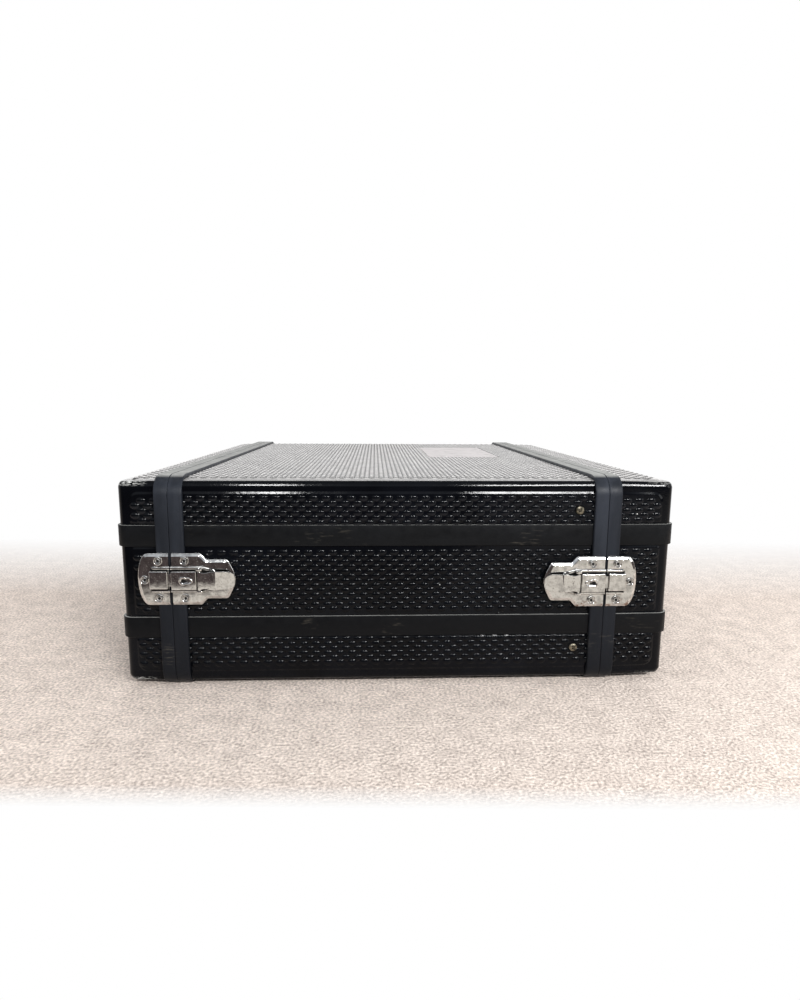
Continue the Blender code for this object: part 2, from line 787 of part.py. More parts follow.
def catch_outline():
    """The lid's plate: straight at the seam and round at its outer end."""
    points = [(-PLATE_SEAM_GAP, -PLATE_HALF_HEIGHT), (-PLATE_SEAM_GAP, PLATE_HALF_HEIGHT)]
    bulge = CATCH_LENGTH - CATCH_STRAIGHT
    for step in range(ARC_STEPS + 1):
        angle = math.pi / 2 - math.pi * step / ARC_STEPS
        along = -CATCH_STRAIGHT - bulge * math.cos(angle)
        points.append((along, PLATE_HALF_HEIGHT * math.sin(angle)))
    return points


def base_outline():
    """The body's plate: wide at the seam, then narrow, with a blunt nose."""
    half = [(PLATE_SEAM_GAP, PLATE_HALF_HEIGHT), (BASE_WIDE_LENGTH, PLATE_HALF_HEIGHT)]
    half += [(BASE_STEP_LENGTH, BASE_NARROW_HALF), (BASE_NARROW_LENGTH, BASE_NARROW_HALF)]
    half += [(BASE_NOSE_LENGTH, BASE_NOSE_HALF)]
    lower = [(along, -up) for along, up in half]
    return lower + [(BASE_LENGTH, 0)] + half[::-1]


def pressed_plate(seat, outline):
    """A plate with a folded rim that reaches down to the shell."""
    top = inset_outline(outline, PLATE_EDGE_FOLD)
    low = [seat.at(a, OVER_FIELD, u) for a, u in outline]
    fold = [seat.at(a, PLATE_TOP - PLATE_EDGE_FOLD, u) for a, u in outline]
    high = [seat.at(a, PLATE_TOP, u) for a, u in top]
    return loft([low, fold, high])


def half_height_at(outline, along):
    """Height of an outline's upper side at a distance from the seam."""
    upper = sorted((abs(a), u) for a, u in outline if u > 0)
    for (a0, u0), (a1, u1) in zip(upper, upper[1:]):
        if a0 <= along <= a1:
            return u0 + (u1 - u0) * (along - a0) / (a1 - a0)
    return upper[0][1]


def underside_cutter(seat, outline, direction):
    """Room under a plate for the closure ring, and the hollow inside its folded rim."""
    hollow = inset_outline(outline, PLATE_SHEET)
    edge = RING_WIDTH + CLEARANCE
    reach = PLATE_HALF_HEIGHT + CUT_OVERRUN
    inner = half_height_at(hollow, edge)
    beyond = [point for point in hollow if abs(point[0]) > edge]
    beyond.sort(key=lambda point: math.atan2(point[1], abs(point[0]) - edge))
    start = direction * (PLATE_SEAM_GAP - CUT_OVERRUN)
    outline_cut = [(start, -reach), (direction * edge, -reach), (direction * edge, -inner)]
    outline_cut += beyond
    outline_cut += [(direction * edge, inner), (direction * edge, reach), (start, reach)]
    return plate_solid(seat, outline_cut, OVER_FIELD - CUT_OVERRUN, PLATE_SEAT)


def guide_profile(start, end, direction):
    """Side view of a guide rib; it slopes down at its outer end."""
    low = PLATE_TOP - SINK
    high = PLATE_TOP + GUIDE_RISE
    points = [(start, low), (end, low), (end, PLATE_TOP)]
    points += [(end - direction * GUIDE_SLOPE, high), (start, high)]
    return points


def ear_profile(start, end):
    """Side view of a guide rib that carries the lever's ear."""
    low = PLATE_TOP - SINK
    high = PLATE_TOP + GUIDE_RISE
    ear = PIVOT_OUT + EAR_ABOVE_PIVOT
    left = LEVER_PIVOT_ALONG - EAR_HALF_LENGTH
    right = LEVER_PIVOT_ALONG + EAR_HALF_LENGTH
    points = [(start, low), (end, low), (end, PLATE_TOP), (end - GUIDE_SLOPE, high)]
    points += [(right, high), (right - GUIDE_SLOPE, ear), (left + GUIDE_SLOPE, ear)]
    points += [(left, high), (start, high)]
    return points


def guide_pair(seat, profile):
    """The upper and the lower guide rib of a plate."""
    outer = GUIDE_INNER_HALF + GUIDE_WIDTH
    upper = bar_solid(seat, profile, GUIDE_INNER_HALF, outer)
    lower = bar_solid(seat, profile, -outer, -GUIDE_INNER_HALF)
    return [upper, lower]


def catch_details(seat):
    """Guide ribs, keeper block and rivet heads of the lid's plate."""
    start = -PLATE_SEAM_GAP - GUIDE_SEAM_STEP
    parts = guide_pair(seat, guide_profile(start, -CATCH_GUIDE_END, -1))
    along = (-KEEPER_LENGTH, start)
    out = (PLATE_TOP - SINK, TUNNEL_ROOF + KEEPER_ROOF)
    parts.append(block_solid(seat, along, out, (-KEEPER_HALF_HEIGHT, KEEPER_HALF_HEIGHT)))
    places = [(-CATCH_RIVET_ALONG, RIVET_UP), (-CATCH_RIVET_ALONG, -RIVET_UP)]
    places.append((-CATCH_END_RIVET_ALONG, 0))
    parts += [rivet_solid(seat, a, u, PLATE_TOP) for a, u in places]
    return gather(parts)


def keeper_mouth(seat):
    """Cutter for the keeper's mouth, open toward the seam."""
    along = (-KEEPER_LENGTH + KEEPER_WALL, CUT_OVERRUN)
    out = (PLATE_TOP - KEEPER_FLOOR_DIP, TUNNEL_ROOF)
    return block_solid(seat, along, out, (-TUNNEL_HALF, TUNNEL_HALF))


def add_catch_plate(name, seat, material, parent):
    """The catch plate on the lid."""
    outline = catch_outline()
    place = seat.at(-CATCH_LENGTH / 2, PLATE_TOP, 0)
    plate = add_object(name, pressed_plate(seat, outline), material, place, parent)
    under = add_cutter(f"{name}_under_cut", underside_cutter(seat, outline, -1))
    combine(plate, "DIFFERENCE", under)
    combine(plate, "UNION", add_cutter(f"{name}_details", catch_details(seat)))
    combine(plate, "DIFFERENCE", add_cutter(f"{name}_mouth_cut", keeper_mouth(seat)))


def base_details(seat):
    """Guide ribs with the lever's ears, and rivet heads, of the body's plate."""
    start = PLATE_SEAM_GAP + GUIDE_SEAM_STEP
    parts = guide_pair(seat, ear_profile(start, BASE_GUIDE_END))
    places = [(BASE_RIVET_ALONG, RIVET_UP), (BASE_RIVET_ALONG, -RIVET_UP)]
    places.append((BASE_END_RIVET_ALONG, 0))
    parts += [rivet_solid(seat, a, u, PLATE_TOP) for a, u in places]
    return gather(parts)


def pin_solid(seat, radius, half_length):
    """A pin along the lever's pivot."""
    ring = circle(radius, ROUND_SIDES, (LEVER_PIVOT_ALONG, PIVOT_OUT))
    return bar_solid(seat, ring, -half_length, half_length)


def add_base_plate(name, seat, material, parent):
    """The base plate on the body."""
    outline = base_outline()
    place = seat.at(BASE_LENGTH / 2, PLATE_TOP, 0)
    plate = add_object(name, pressed_plate(seat, outline), material, place, parent)
    under = add_cutter(f"{name}_under_cut", underside_cutter(seat, outline, 1))
    combine(plate, "DIFFERENCE", under)
    combine(plate, "UNION", add_cutter(f"{name}_details", base_details(seat)))
    reach = GUIDE_INNER_HALF + GUIDE_WIDTH + CUT_OVERRUN
    bore = pin_solid(seat, LEVER_PIN_RADIUS + CLEARANCE, reach)
    combine(plate, "DIFFERENCE", add_cutter(f"{name}_bore_cut", bore))


def hook_solid(seat):
    """The flat draw hook that runs from the lever into the keeper."""
    along = (-HOOK_REACH, HOOK_TAIL)
    return block_solid(seat, along, (HOOK_BOTTOM, HOOK_TOP), (-HOOK_HALF_HEIGHT, HOOK_HALF_HEIGHT))


def lock_profile():
    """Section of the lock housing: a bridge over the hook."""
    half = [(LOCK_HALF_HEIGHT, HOOK_BOTTOM), (LOCK_HALF_HEIGHT, LOCK_TOP)]
    half_inner = [(-TUNNEL_HALF, HOOK_BOTTOM), (-TUNNEL_HALF, TUNNEL_ROOF)]
    left = [(-up, out) for up, out in reversed(half)]
    right_inner = [(-up, out) for up, out in reversed(half_inner)]
    return half + left + half_inner + right_inner


def plug_loop(seat, radius, out):
    """A circle round the lock plug's axis."""
    return [seat.at(a, out, u) for a, u in circle(radius, PLUG_SIDES, (PLUG_ALONG, 0))]


def key_outline():
    """Outline of the keyhole: a round hole with a slot away from the seam."""
    first = math.asin(KEY_SLOT_HALF / KEY_HOLE_RADIUS)
    points = []
    for step in range(PLUG_SIDES + 1):
        angle = first + (math.tau - 2 * first) * step / PLUG_SIDES
        along = PLUG_ALONG + KEY_HOLE_RADIUS * math.cos(angle)
        points.append((along, KEY_HOLE_RADIUS * math.sin(angle)))
    slot_end = PLUG_ALONG + KEY_SLOT_LENGTH
    return points + [(slot_end, -KEY_SLOT_HALF), (slot_end, KEY_SLOT_HALF)]


def add_lock(name, seat, material, parent):
    """The lock housing and the plug that turns in it."""
    solid = run_solid(seat, lock_profile(), LOCK_START, LOCK_END)
    place = seat.at(PLUG_ALONG, LOCK_TOP, 0)
    housing = add_object(f"{name}_lock_housing", solid, material, place, parent)
    low = HOOK_TOP
    high = LOCK_TOP + CUT_OVERRUN
    bore = loft([plug_loop(seat, PLUG_RADIUS + CLEARANCE, out) for out in (low, high)])
    combine(housing, "DIFFERENCE", add_cutter(f"{name}_plug_bore_cut", bore))
    top = LOCK_TOP + PLUG_PROUD
    turned = loft([plug_loop(seat, PLUG_RADIUS, out) for out in (TUNNEL_ROOF, top)])
    plug = add_object(f"{name}_lock_plug", turned, material, place, parent)
    floor = top - KEY_HOLE_DEPTH
    keyhole = plate_solid(seat, key_outline(), floor, top + CUT_OVERRUN)
    combine(plug, "DIFFERENCE", add_cutter(f"{name}_keyhole_cut", keyhole))


def lever_profile():
    """Side view of the lever: knuckle, flat, step down and a tab that curls out."""
    flat_low = LEVER_TOP - LEVER_SHEET
    tab_top = LEVER_TOP - LEVER_DROP
    tab_low = tab_top - LEVER_SHEET
    step_end = LEVER_FLAT_END + LEVER_STEP
    points = []
    for step in range(ARC_STEPS + 1):
        angle = math.pi / 2 + math.pi * 1.25 * step / ARC_STEPS
        along = LEVER_PIVOT_ALONG + LEVER_KNUCKLE_RADIUS * math.cos(angle)
        points.append((along, PIVOT_OUT + LEVER_KNUCKLE_RADIUS * math.sin(angle)))
    points += [(LEVER_PIVOT_ALONG + LEVER_KNUCKLE_RADIUS, flat_low), (LEVER_FLAT_END, flat_low)]
    points += [(step_end, tab_low), (LEVER_TAB_END, tab_low)]
    points += [(LEVER_TIP, LEVER_TOP - LEVER_SHEET / 2), (LEVER_TIP - LEVER_SHEET / 2, LEVER_TOP)]
    points += [(LEVER_TAB_END - LEVER_SHEET / 2, tab_top), (step_end, tab_top)]
    points += [(LEVER_FLAT_END, LEVER_TOP)]
    return points


def lever_solid(seat):
    """The lever, narrower toward its tip."""
    profile = lever_profile()
    taper_start = LEVER_FLAT_END + LEVER_STEP
    loops = []
    for direction in (-1, 1):
        loop = []
        for along, out in profile:
            share = max(0, (along - taper_start) / (LEVER_TIP - taper_start))
            half = LEVER_HALF_HEIGHT + (LEVER_TIP_HALF - LEVER_HALF_HEIGHT) * share
            loop.append(seat.at(along, out, direction * half))
        loops.append(loop)
    return loft(loops)


def add_lever(name, seat, material, parent):
    """The lever with its pivot pin."""
    pivot = seat.at(LEVER_PIVOT_ALONG, PIVOT_OUT, 0)
    lever = add_object(f"{name}_lever", lever_solid(seat), material, pivot, parent)
    reach = GUIDE_INNER_HALF + GUIDE_WIDTH
    pin = pin_solid(seat, LEVER_PIN_RADIUS, reach)
    combine(lever, "UNION", add_cutter(f"{name}_lever_pin", pin))


def add_latch(end, side_name, side, materials, body, lid):
    """One latch: the catch plate on the lid and the rest on the body."""
    name = f"latch_{end.name}_{side_name}"
    seat = Seat(end.seam, -end.out, side, end.latch_z)
    steel = materials["chromed_steel"]
    add_catch_plate(f"{name}_catch_plate", seat, steel, lid)
    add_base_plate(f"{name}_base_plate", seat, steel, body)
    add_object(f"{name}_hook", hook_solid(seat), steel, seat.at(0, HOOK_BOTTOM, 0), body)
    add_lock(name, seat, steel, body)
    add_lever(name, seat, steel, body)


# Handle


def pipe(places, radii):
    """A tube of changing radius through places in one upright plane along the case."""
    loops = []
    for i, place in enumerate(places):
        before = places[max(i - 1, 0)]
        after = places[min(i + 1, len(places) - 1)]
        ahead = (after - place).normalized() + (place - before).normalized()
        ahead.normalize()
        across = Vector((-ahead.z, 0, ahead.x))
        side = Vector((0, 1, 0))
        loop = []
        for cos_part, sin_part in circle(radii[i], ROUND_SIDES):
            loop.append(place + across * cos_part + side * sin_part)
        loops.append(loop)
    return loft(loops)


def handle_seat():
    """Seat of the handle's pivot line, in the middle of the far side."""
    return Seat((REAR.seam + FRONT.seam) / 2, 1, 1, HANDLE_PIVOT_Z)


def bail_half():
    """Half of the bail's centre line, from its pin to its grip, with the radii."""
    pin_end = HANDLE_SPAN / 2 + EYE_HALF_LENGTH
    arm = HANDLE_SPAN / 2 - EYE_HALF_LENGTH - CLEARANCE - HANDLE_ARM_RADIUS
    foot = arm - HANDLE_BEND
    grip = foot - HANDLE_BEND
    pin = HANDLE_PIN_RADIUS
    rod = HANDLE_ARM_RADIUS
    return [
        (pin_end, 0, pin),
        (arm + rod, 0, pin),
        (arm, 0, rod),
        (arm, -rod, rod),
        (arm, HANDLE_BEND - HANDLE_DROP, rod),
        (foot, -HANDLE_DROP, rod),
        (grip, -HANDLE_DROP, HANDLE_GRIP_RADIUS),
    ]


def bail_solid(seat):
    """The bail: pins, arms and a thicker grip."""
    half = bail_half()
    whole = half + [(-along, up, radius) for along, up, radius in reversed(half)]
    places = [seat.at(along, HANDLE_PIVOT_OUT, up) for along, up, _ in whole]
    return pipe(places, [radius for _, _, radius in whole])


def add_bracket(name, seat, centre, material, parent):
    """A bracket with the eye that holds one of the bail's pins."""
    low = centre - BRACKET_HALF_LENGTH
    high = centre + BRACKET_HALF_LENGTH
    foot = (OVER_FIELD, OVER_FIELD + BRACKET_SHEET)
    solid = block_solid(seat, (low, high), foot, (-BRACKET_BELOW, BRACKET_ABOVE))
    place = seat.at(centre, foot[1], 0)
    bracket = add_object(name, solid, material, place, parent)
    eye_along = (centre - EYE_HALF_LENGTH, centre + EYE_HALF_LENGTH)
    eye_out = (foot[1] - SINK, HANDLE_PIVOT_OUT + EYE_HALF_HEIGHT)
    eye = block_solid(seat, eye_along, eye_out, (-EYE_HALF_HEIGHT, EYE_HALF_HEIGHT))
    rivet = rivet_solid(seat, centre, -BRACKET_RIVET_DROP, foot[1])
    combine(bracket, "UNION", add_cutter(f"{name}_eye", gather([eye, rivet])))
    ring = circle(HANDLE_PIN_RADIUS + CLEARANCE, ROUND_SIDES, (0, HANDLE_PIVOT_OUT))
    ends = (eye_along[0] - CUT_OVERRUN, eye_along[1] + CUT_OVERRUN)
    bore = run_solid(seat, ring, *ends)
    combine(bracket, "DIFFERENCE", add_cutter(f"{name}_bore_cut", bore))


def add_handle(materials, parent):
    """The carrying handle."""
    seat = handle_seat()
    steel = materials["chromed_steel"]
    half = HANDLE_SPAN / 2
    add_bracket("handle_bracket_rear", seat, -half, steel, parent)
    add_bracket("handle_bracket_front", seat, half, steel, parent)
    pivot = seat.at(0, HANDLE_PIVOT_OUT, 0)
    add_object("handle_bail", bail_solid(seat), materials["handle_plastic"], pivot, parent)


# Assembly


def add_body(materials, parent):
    """Shells, panels, bands and closure rings of the body."""
    shell = materials["abs_shell"]
    profile = materials["pvc_profile"]
    middle_x = (REAR.seam + FRONT.seam) / 2
    holes = add_cutter("screw_holes_cut", screw_holes())
    shells = (
        ("case_top_shell", UPPER_BAND_Z + JOINT_HALF, SHELL_TOP_Z),
        ("case_bottom_shell", LOWER_BAND_Z - JOINT_HALF, SHELL_BOTTOM_Z),
    )
    for name, joint_z, outer_z in shells:
        solid = along_body(shell_section(joint_z, outer_z))
        piece = add_object(name, solid, shell, (middle_x, 0, outer_z), parent)
        combine(piece, "DIFFERENCE", holes)
    for side_name, side in SIDES:
        place = (middle_x, side * SHELL_HALF_WIDTH, MID_Z)
        add_object(f"case_side_panel_{side_name}", side_panel(side), shell, place, parent)
        for band_name, z in (("upper", UPPER_BAND_Z), ("lower", LOWER_BAND_Z)):
            name = f"case_band_{band_name}_{side_name}"
            place = (middle_x, side * SHELL_HALF_WIDTH, z)
            add_object(name, body_band(side, z), profile, place, parent)
    for end in (REAR, FRONT):
        place = (end.seam, 0, MID_Z)
        add_object(f"case_ring_{end.name}", body_ring(end), profile, place, parent)
    return holes


def add_rails(materials, holes, parent):
    """The two rack rails and their screws."""
    for side_name, side in SIDES:
        place = (FRONT.seam - RAIL_SETBACK, side * RACK_HOLE_SPACING / 2, MID_Z)
        name = f"rack_rail_{side_name}"
        rail = add_object(name, rail_solid(side), materials["rail_steel"], place, parent)
        combine(rail, "DIFFERENCE", add_cutter(f"{name}_rack_holes_cut", rack_holes(side)))
        combine(rail, "DIFFERENCE", holes)
    for name, seat in screw_seats():
        place = seat.at(0, OVER_FIELD, 0)
        add_object(name, screw_solid(seat), materials["zinc_screw"], place, parent)


def add_lid(end, materials, parent):
    """Shells, bands and closure ring of a lid."""
    shell = materials["abs_shell"]
    profile = materials["pvc_profile"]
    name = f"{end.name}_lid"
    middle_x = end.seam + end.out * end.depth / 2
    top = lid_cap(end, UPPER_BAND_Z + JOINT_HALF, SHELL_TOP_Z)
    bottom = lid_cap(end, LOWER_BAND_Z - JOINT_HALF, SHELL_BOTTOM_Z)
    add_object(f"{name}_top_shell", top, shell, (middle_x, 0, SHELL_TOP_Z), parent)
    add_object(f"{name}_middle_wall", lid_middle(end), shell, (middle_x, 0, MID_Z), parent)
    add_object(f"{name}_bottom_shell", bottom, shell, (middle_x, 0, SHELL_BOTTOM_Z), parent)
    upper = lid_band(end, UPPER_BAND_Z)
    lower = lid_band(end, LOWER_BAND_Z)
    add_object(f"{name}_band_upper", upper, profile, (middle_x, 0, UPPER_BAND_Z), parent)
    add_object(f"{name}_band_lower", lower, profile, (middle_x, 0, LOWER_BAND_Z), parent)
    add_object(f"{name}_ring", lid_ring(end), profile, (end.seam, 0, MID_Z), parent)


def add_label(materials, parent):
    """The bare label plate on the top shell."""
    low = SHELL_TOP_Z + OVER_FIELD
    corners = [(0, 0), (LABEL_LENGTH, 0), (LABEL_LENGTH, LABEL_WIDTH), (0, LABEL_WIDTH)]
    loops = []
    for z in (low, low + LABEL_SHEET):
        loops.append([Vector((LABEL_START_X + x, LABEL_START_Y + y, z)) for x, y in corners])
    place = (LABEL_START_X + LABEL_LENGTH / 2, LABEL_START_Y + LABEL_WIDTH / 2, low)
    add_object("label_plate", loft(loops), materials["label_aluminium"], place, parent)


def clear_scene():
    """Start from a scene without objects."""
    for obj in list(bpy.data.objects):
        bpy.data.objects.remove(obj, do_unlink=True)


def build():
    """Model the whole case."""
    clear_scene()
    materials = make_materials()
    body = add_frame("case_frame", (0, 0, 0))
    lids = {end: add_frame(f"{end.name}_lid_frame", (end.seam, 0, MID_Z)) for end in (REAR, FRONT)}
    holes = add_body(materials, body)
    add_rails(materials, holes, body)
    add_label(materials, body)
    for end in (REAR, FRONT):
        add_lid(end, materials, lids[end])
        for side_name, side in SIDES:
            add_latch(end, side_name, side, materials, body, lids[end])
    add_handle(materials, body)


build()
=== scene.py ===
"""Rack case with two lids that pull off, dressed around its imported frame.

The front of the case is at +X, its rear at -X, and the side with the photographed latches faces -Y.
Lengths are in metres. The file is laid out as an add-on: sizes and colours are properties, and each
operator makes one group of pieces. Run as a script, it makes them all and the stage.
"""

import math
from collections import namedtuple
from functools import partial

import bmesh
import bpy
from mathutils import Matrix, Vector


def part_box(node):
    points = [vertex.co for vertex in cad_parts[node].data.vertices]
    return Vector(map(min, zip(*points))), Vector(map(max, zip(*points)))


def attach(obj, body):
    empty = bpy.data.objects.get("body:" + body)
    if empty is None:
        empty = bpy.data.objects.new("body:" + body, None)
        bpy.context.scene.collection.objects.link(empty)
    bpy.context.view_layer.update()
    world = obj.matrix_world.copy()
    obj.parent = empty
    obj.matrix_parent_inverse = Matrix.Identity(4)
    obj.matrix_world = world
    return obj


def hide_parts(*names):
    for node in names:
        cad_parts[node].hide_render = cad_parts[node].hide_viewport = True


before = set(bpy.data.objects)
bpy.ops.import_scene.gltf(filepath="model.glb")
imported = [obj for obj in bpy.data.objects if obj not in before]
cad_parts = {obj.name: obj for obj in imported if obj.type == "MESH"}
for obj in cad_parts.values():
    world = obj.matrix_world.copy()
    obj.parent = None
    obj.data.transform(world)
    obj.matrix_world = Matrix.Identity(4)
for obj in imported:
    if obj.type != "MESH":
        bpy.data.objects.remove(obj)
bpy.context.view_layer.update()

bl_info = {
    "name": "Rack case dressing",
    "version": (1, 0, 0),
    "blender": (4, 5, 0),
    "location": "View3D > Sidebar > Rack case",
    "description": "Detailed pieces and finishes for a rack case with two lids that pull off",
    "category": "Object",
}

# Sizes shared with the solids
CLEARANCE = 0.0003
SHELL_WALL = 0.003
SHELL_EDGE_RADIUS = 0.0043
EDGE_FLAT = 0.0019
EDGE_FLAT_DEG = 19.0
RING_SEAT_RADIUS = 0.0095
LID_CORNER_RADIUS = 0.0095
LID_SLOPE = math.tan(math.radians(1.5))
FIELD_HEIGHT = 0.0008
RING_WIDTH = 0.013
RING_PROUD = 0.005
RING_EDGE_RADIUS = 0.020
RING_WEB = 0.003
RING_FLANGE_WALL = 0.0015
TONGUE_LENGTH = 0.004
BAND_HEIGHT = 0.0203
BAND_PROUD = 0.0022
BAND_WEB = 0.002
BAND_INNER_HEIGHT = 0.014
BAND_INNER_WALL = 0.0015
PLATE_SHEET = 0.0015
PLATE_SEAM_GAP = 0.0014
PLATE_HALF_HEIGHT = 0.025
CATCH_LENGTH = 0.0305
CATCH_STRAIGHT = 0.021
BASE_LENGTH = 0.0605
GUIDE_INNER_HALF = 0.0093
GUIDE_WIDTH = 0.0032
GUIDE_RISE = 0.002
KEEPER_HALF_HEIGHT = 0.0087
KEEPER_LENGTH = 0.019
KEEPER_ROOF = 0.0012
HOOK_SHEET = 0.0015
HOOK_HALF_HEIGHT = 0.0061
HOOK_REACH = 0.012
HOOK_TAIL = 0.033
LOCK_START = 0.0019
LOCK_END = 0.0252
LOCK_HALF_HEIGHT = 0.009
LOCK_RISE = 0.0052
PLUG_ALONG = 0.0132
PLUG_RADIUS = 0.004
LEVER_PIVOT_ALONG = 0.0278
LEVER_KNUCKLE_RADIUS = 0.0018
LEVER_SHEET = 0.0014
RIVET_UP = 0.018
PLUG_GAP = 0.0001
PEAR_RADIUS = 0.0043
PEAR_TIP = 0.0090
TAB_START = 0.0433
TAB_TURN = 0.0019
TAB_LEAN = 0.055
CATCH_RIVET_ALONG = 0.011
CATCH_END_RIVET_ALONG = 0.0238
BASE_RIVET_ALONG = 0.0134

# Sizes that only the visible pieces have
EDGE_STEPS = 9
CORNER_STEPS = 9
RING_STEPS = 14
SUPPORT = 0.0012
SMALL_CORNER = 0.0040
SINK = 0.0005
FIELD_EDGE_MARGIN = 0.0006
FIELD_TOP_MARGIN = 0.0045
FIELD_FROM_TOP = 0.0101
FIELD_LID_END_MARGIN = 0.0115
FIELD_LID_FACE_MARGIN = 0.0015
FIELD_LID_ROOF_MARGIN = 0.0010
STUD_CLEAR = 0.0015
STUD_CORNER_CUT = 0.0030
STUD_CORNER_LEAST = 0.001
SCREW_ROOM = 0.0042
UNDER_RING = 0.0045
ROOF_STUD_INSET = 0.0035
LID_STUD_START = {"rear": 0.0005, "front": -0.0055}
LID_STUD_END = 0.0056
LID_FACE_STUD_INSET = 0.0036
LID_ROOF_STUD_INSET = 0.0045
LID_ROOF_STUD_START = 0.0010
LID_ROOF_STUD_END = 0.0040
LID_CORNER_LEAST = 0.002
INNER_EDGE_RADIUS = 0.0004
OVERRUN = 0.002
SMOOTH_ANGLE_DEG = 32.0


def span(node):
    """Lowest and highest corner of a node at rest."""
    low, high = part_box(node)
    return Vector(low), Vector(high)


def middle(node):
    """Middle of a node's box at rest."""
    low, high = span(node)
    return (low + high) / 2


# Places read from the frame
RING_LOW, RING_HIGH = span("case_ring_front")
FACE_Y = RING_HIGH.y - RING_PROUD
TOP_Z = RING_HIGH.z - RING_PROUD
BOTTOM_Z = RING_LOW.z + RING_PROUD
MID_Z = (TOP_Z + BOTTOM_Z) / 2
FRONT_SEAM = RING_HIGH.x - TONGUE_LENGTH
REAR_SEAM = span("case_ring_rear")[0].x + TONGUE_LENGTH
BAND_ZS = {name: middle(f"case_band_{name}_near").z for name in ("upper", "lower")}

# Sizes that follow
JOINT_HALF = BAND_WEB / 2 + CLEARANCE
LID_WEB = RING_WEB + TONGUE_LENGTH + CLEARANCE
OVER_FIELD = FIELD_HEIGHT + CLEARANCE
BAND_END = RING_WIDTH + CLEARANCE
INNER_SEAT = SHELL_WALL + CLEARANCE
RING_INNER = INNER_SEAT + RING_FLANGE_WALL
BAND_INNER = INNER_SEAT + BAND_INNER_WALL
PLATE_TOP = RING_PROUD + CLEARANCE + PLATE_SHEET
HOOK_BOTTOM = PLATE_TOP + CLEARANCE
HOOK_TOP = HOOK_BOTTOM + HOOK_SHEET
TUNNEL_ROOF = HOOK_TOP + CLEARANCE
TUNNEL_HALF = HOOK_HALF_HEIGHT + CLEARANCE
LOCK_TOP = PLATE_TOP + LOCK_RISE
PIVOT_OUT = TUNNEL_ROOF + CLEARANCE + LEVER_KNUCKLE_RADIUS
LEVER_TOP = PIVOT_OUT + LEVER_KNUCKLE_RADIUS
FIELD_START = BAND_HEIGHT / 2 + FIELD_EDGE_MARGIN - JOINT_HALF
OUTER_MARGINS = (0.0015, 0.0062)
MIDDLE_MARGINS = (0.0055, 0.0055)

End = namedtuple("End", "name seam out depth latch_z")
REAR_DEPTH = REAR_SEAM - span("rear_lid_top_shell")[0].x - FIELD_HEIGHT
FRONT_DEPTH = span("front_lid_top_shell")[1].x - FRONT_SEAM - FIELD_HEIGHT
REAR = End("rear", REAR_SEAM, -1, REAR_DEPTH, middle("latch_rear_near_lock_plug").z)
FRONT = End("front", FRONT_SEAM, 1, FRONT_DEPTH, middle("latch_front_near_lock_plug").z)
SIDES = (("near", -1), ("far", 1))

Field = namedtuple("Field", "place outline studs clear band_edges")


def linear(code):
    """An sRGB hex colour as linear red, green, blue and alpha."""
    parts = [int(code[i : i + 2], 16) / 255 for i in (1, 3, 5)]
    curved = [c / 12.92 if c <= 0.04045 else ((c + 0.055) / 1.055) ** 2.4 for c in parts]
    return (*curved, 1.0)


def length_property(name, description, default):
    """A length that the user can change."""
    return bpy.props.FloatProperty(
        name=name, description=description, default=default, min=0.0, unit="LENGTH", precision=5
    )


def colour_property(name, description, code):
    """A colour that the user can change."""
    return bpy.props.FloatVectorProperty(
        name=name, description=description, default=linear(code), size=4, min=0.0, max=1.0, subtype="COLOR"
    )


class RackCaseSizes(bpy.types.PropertyGroup):
    """Sizes of the visible detail."""

    stud_pitch: length_property("Stud pitch", "Distance between studs along a row", 0.0117)
    stud_row: length_property("Stud rows", "Distance between staggered rows", 0.0047)
    stud_length: length_property("Stud length", "Length of a stud along its row", 0.0100)
    stud_width: length_property("Stud width", "Width of a stud across its row", 0.0080)
    stud_rise: length_property("Stud rise", "Height of a stud over its field", 0.0013)
    field_bevel: length_property("Field bevel", "Width of the slope round a raised field", 0.0021)
    field_corner: length_property("Field corner", "Radius of a lid field's outer corner", 0.0095)
    ring_edge: length_property("Ring edge", "Radius of a closure ring's outer edge", 0.0014)
    seam_edge: length_property("Seam edge", "Radius of a closure ring's edge at the seam", 0.0006)
    band_edge: length_property("Band edge", "Radius of a joint band's edges", 0.0006)
    plate_fold: length_property("Plate fold", "Width of a latch plate's folded rim", 0.0032)
    rivet_radius: length_property("Rivet radius", "Radius of a rivet's head", 0.0043)
    screw_radius: length_property("Screw radius", "Radius of a rail screw's head", 0.0042)


class RackCaseColours(bpy.types.PropertyGroup):
    """Colours of the case and its stage."""

    shell: colour_property("Shell", "Moulded shell sheet", "#050609")
    profile: colour_property("Band", "Extruded joint bands", "#0c0d0f")
    ring: colour_property("Ring", "Faded closure rings", "#24272d")
    chrome: colour_property("Chrome", "Chrome plate", "#d6d5d2")
    rust: colour_property("Rust", "Rust on worn chrome plate", "#6e4a30")
    zinc: colour_property("Screw", "Yellow zinc plate", "#8b8474")
    rail: colour_property("Rail", "Clear zinc plate", "#a9adb0")
    label: colour_property("Label", "Bare label plate", "#b9b3b2")
    grip: colour_property("Grip", "Handle grip", "#131314")
    floor: colour_property("Floor", "Floor of the stage", "#e6d6cb")


# Outlines


def arc(centre, radius, start_deg, end_deg, steps):
    """Points of an arc, both ends included."""
    points = []
    for step in range(steps + 1):
        angle = math.radians(start_deg + (end_deg - start_deg) * step / steps)
        points.append((centre[0] + radius * math.cos(angle), centre[1] + radius * math.sin(angle)))
    return points


def circle(radius, sides, centre=(0, 0)):
    """Points of a circle."""
    return arc(centre, radius, 0, 360 * (sides - 1) / sides, sides - 1)


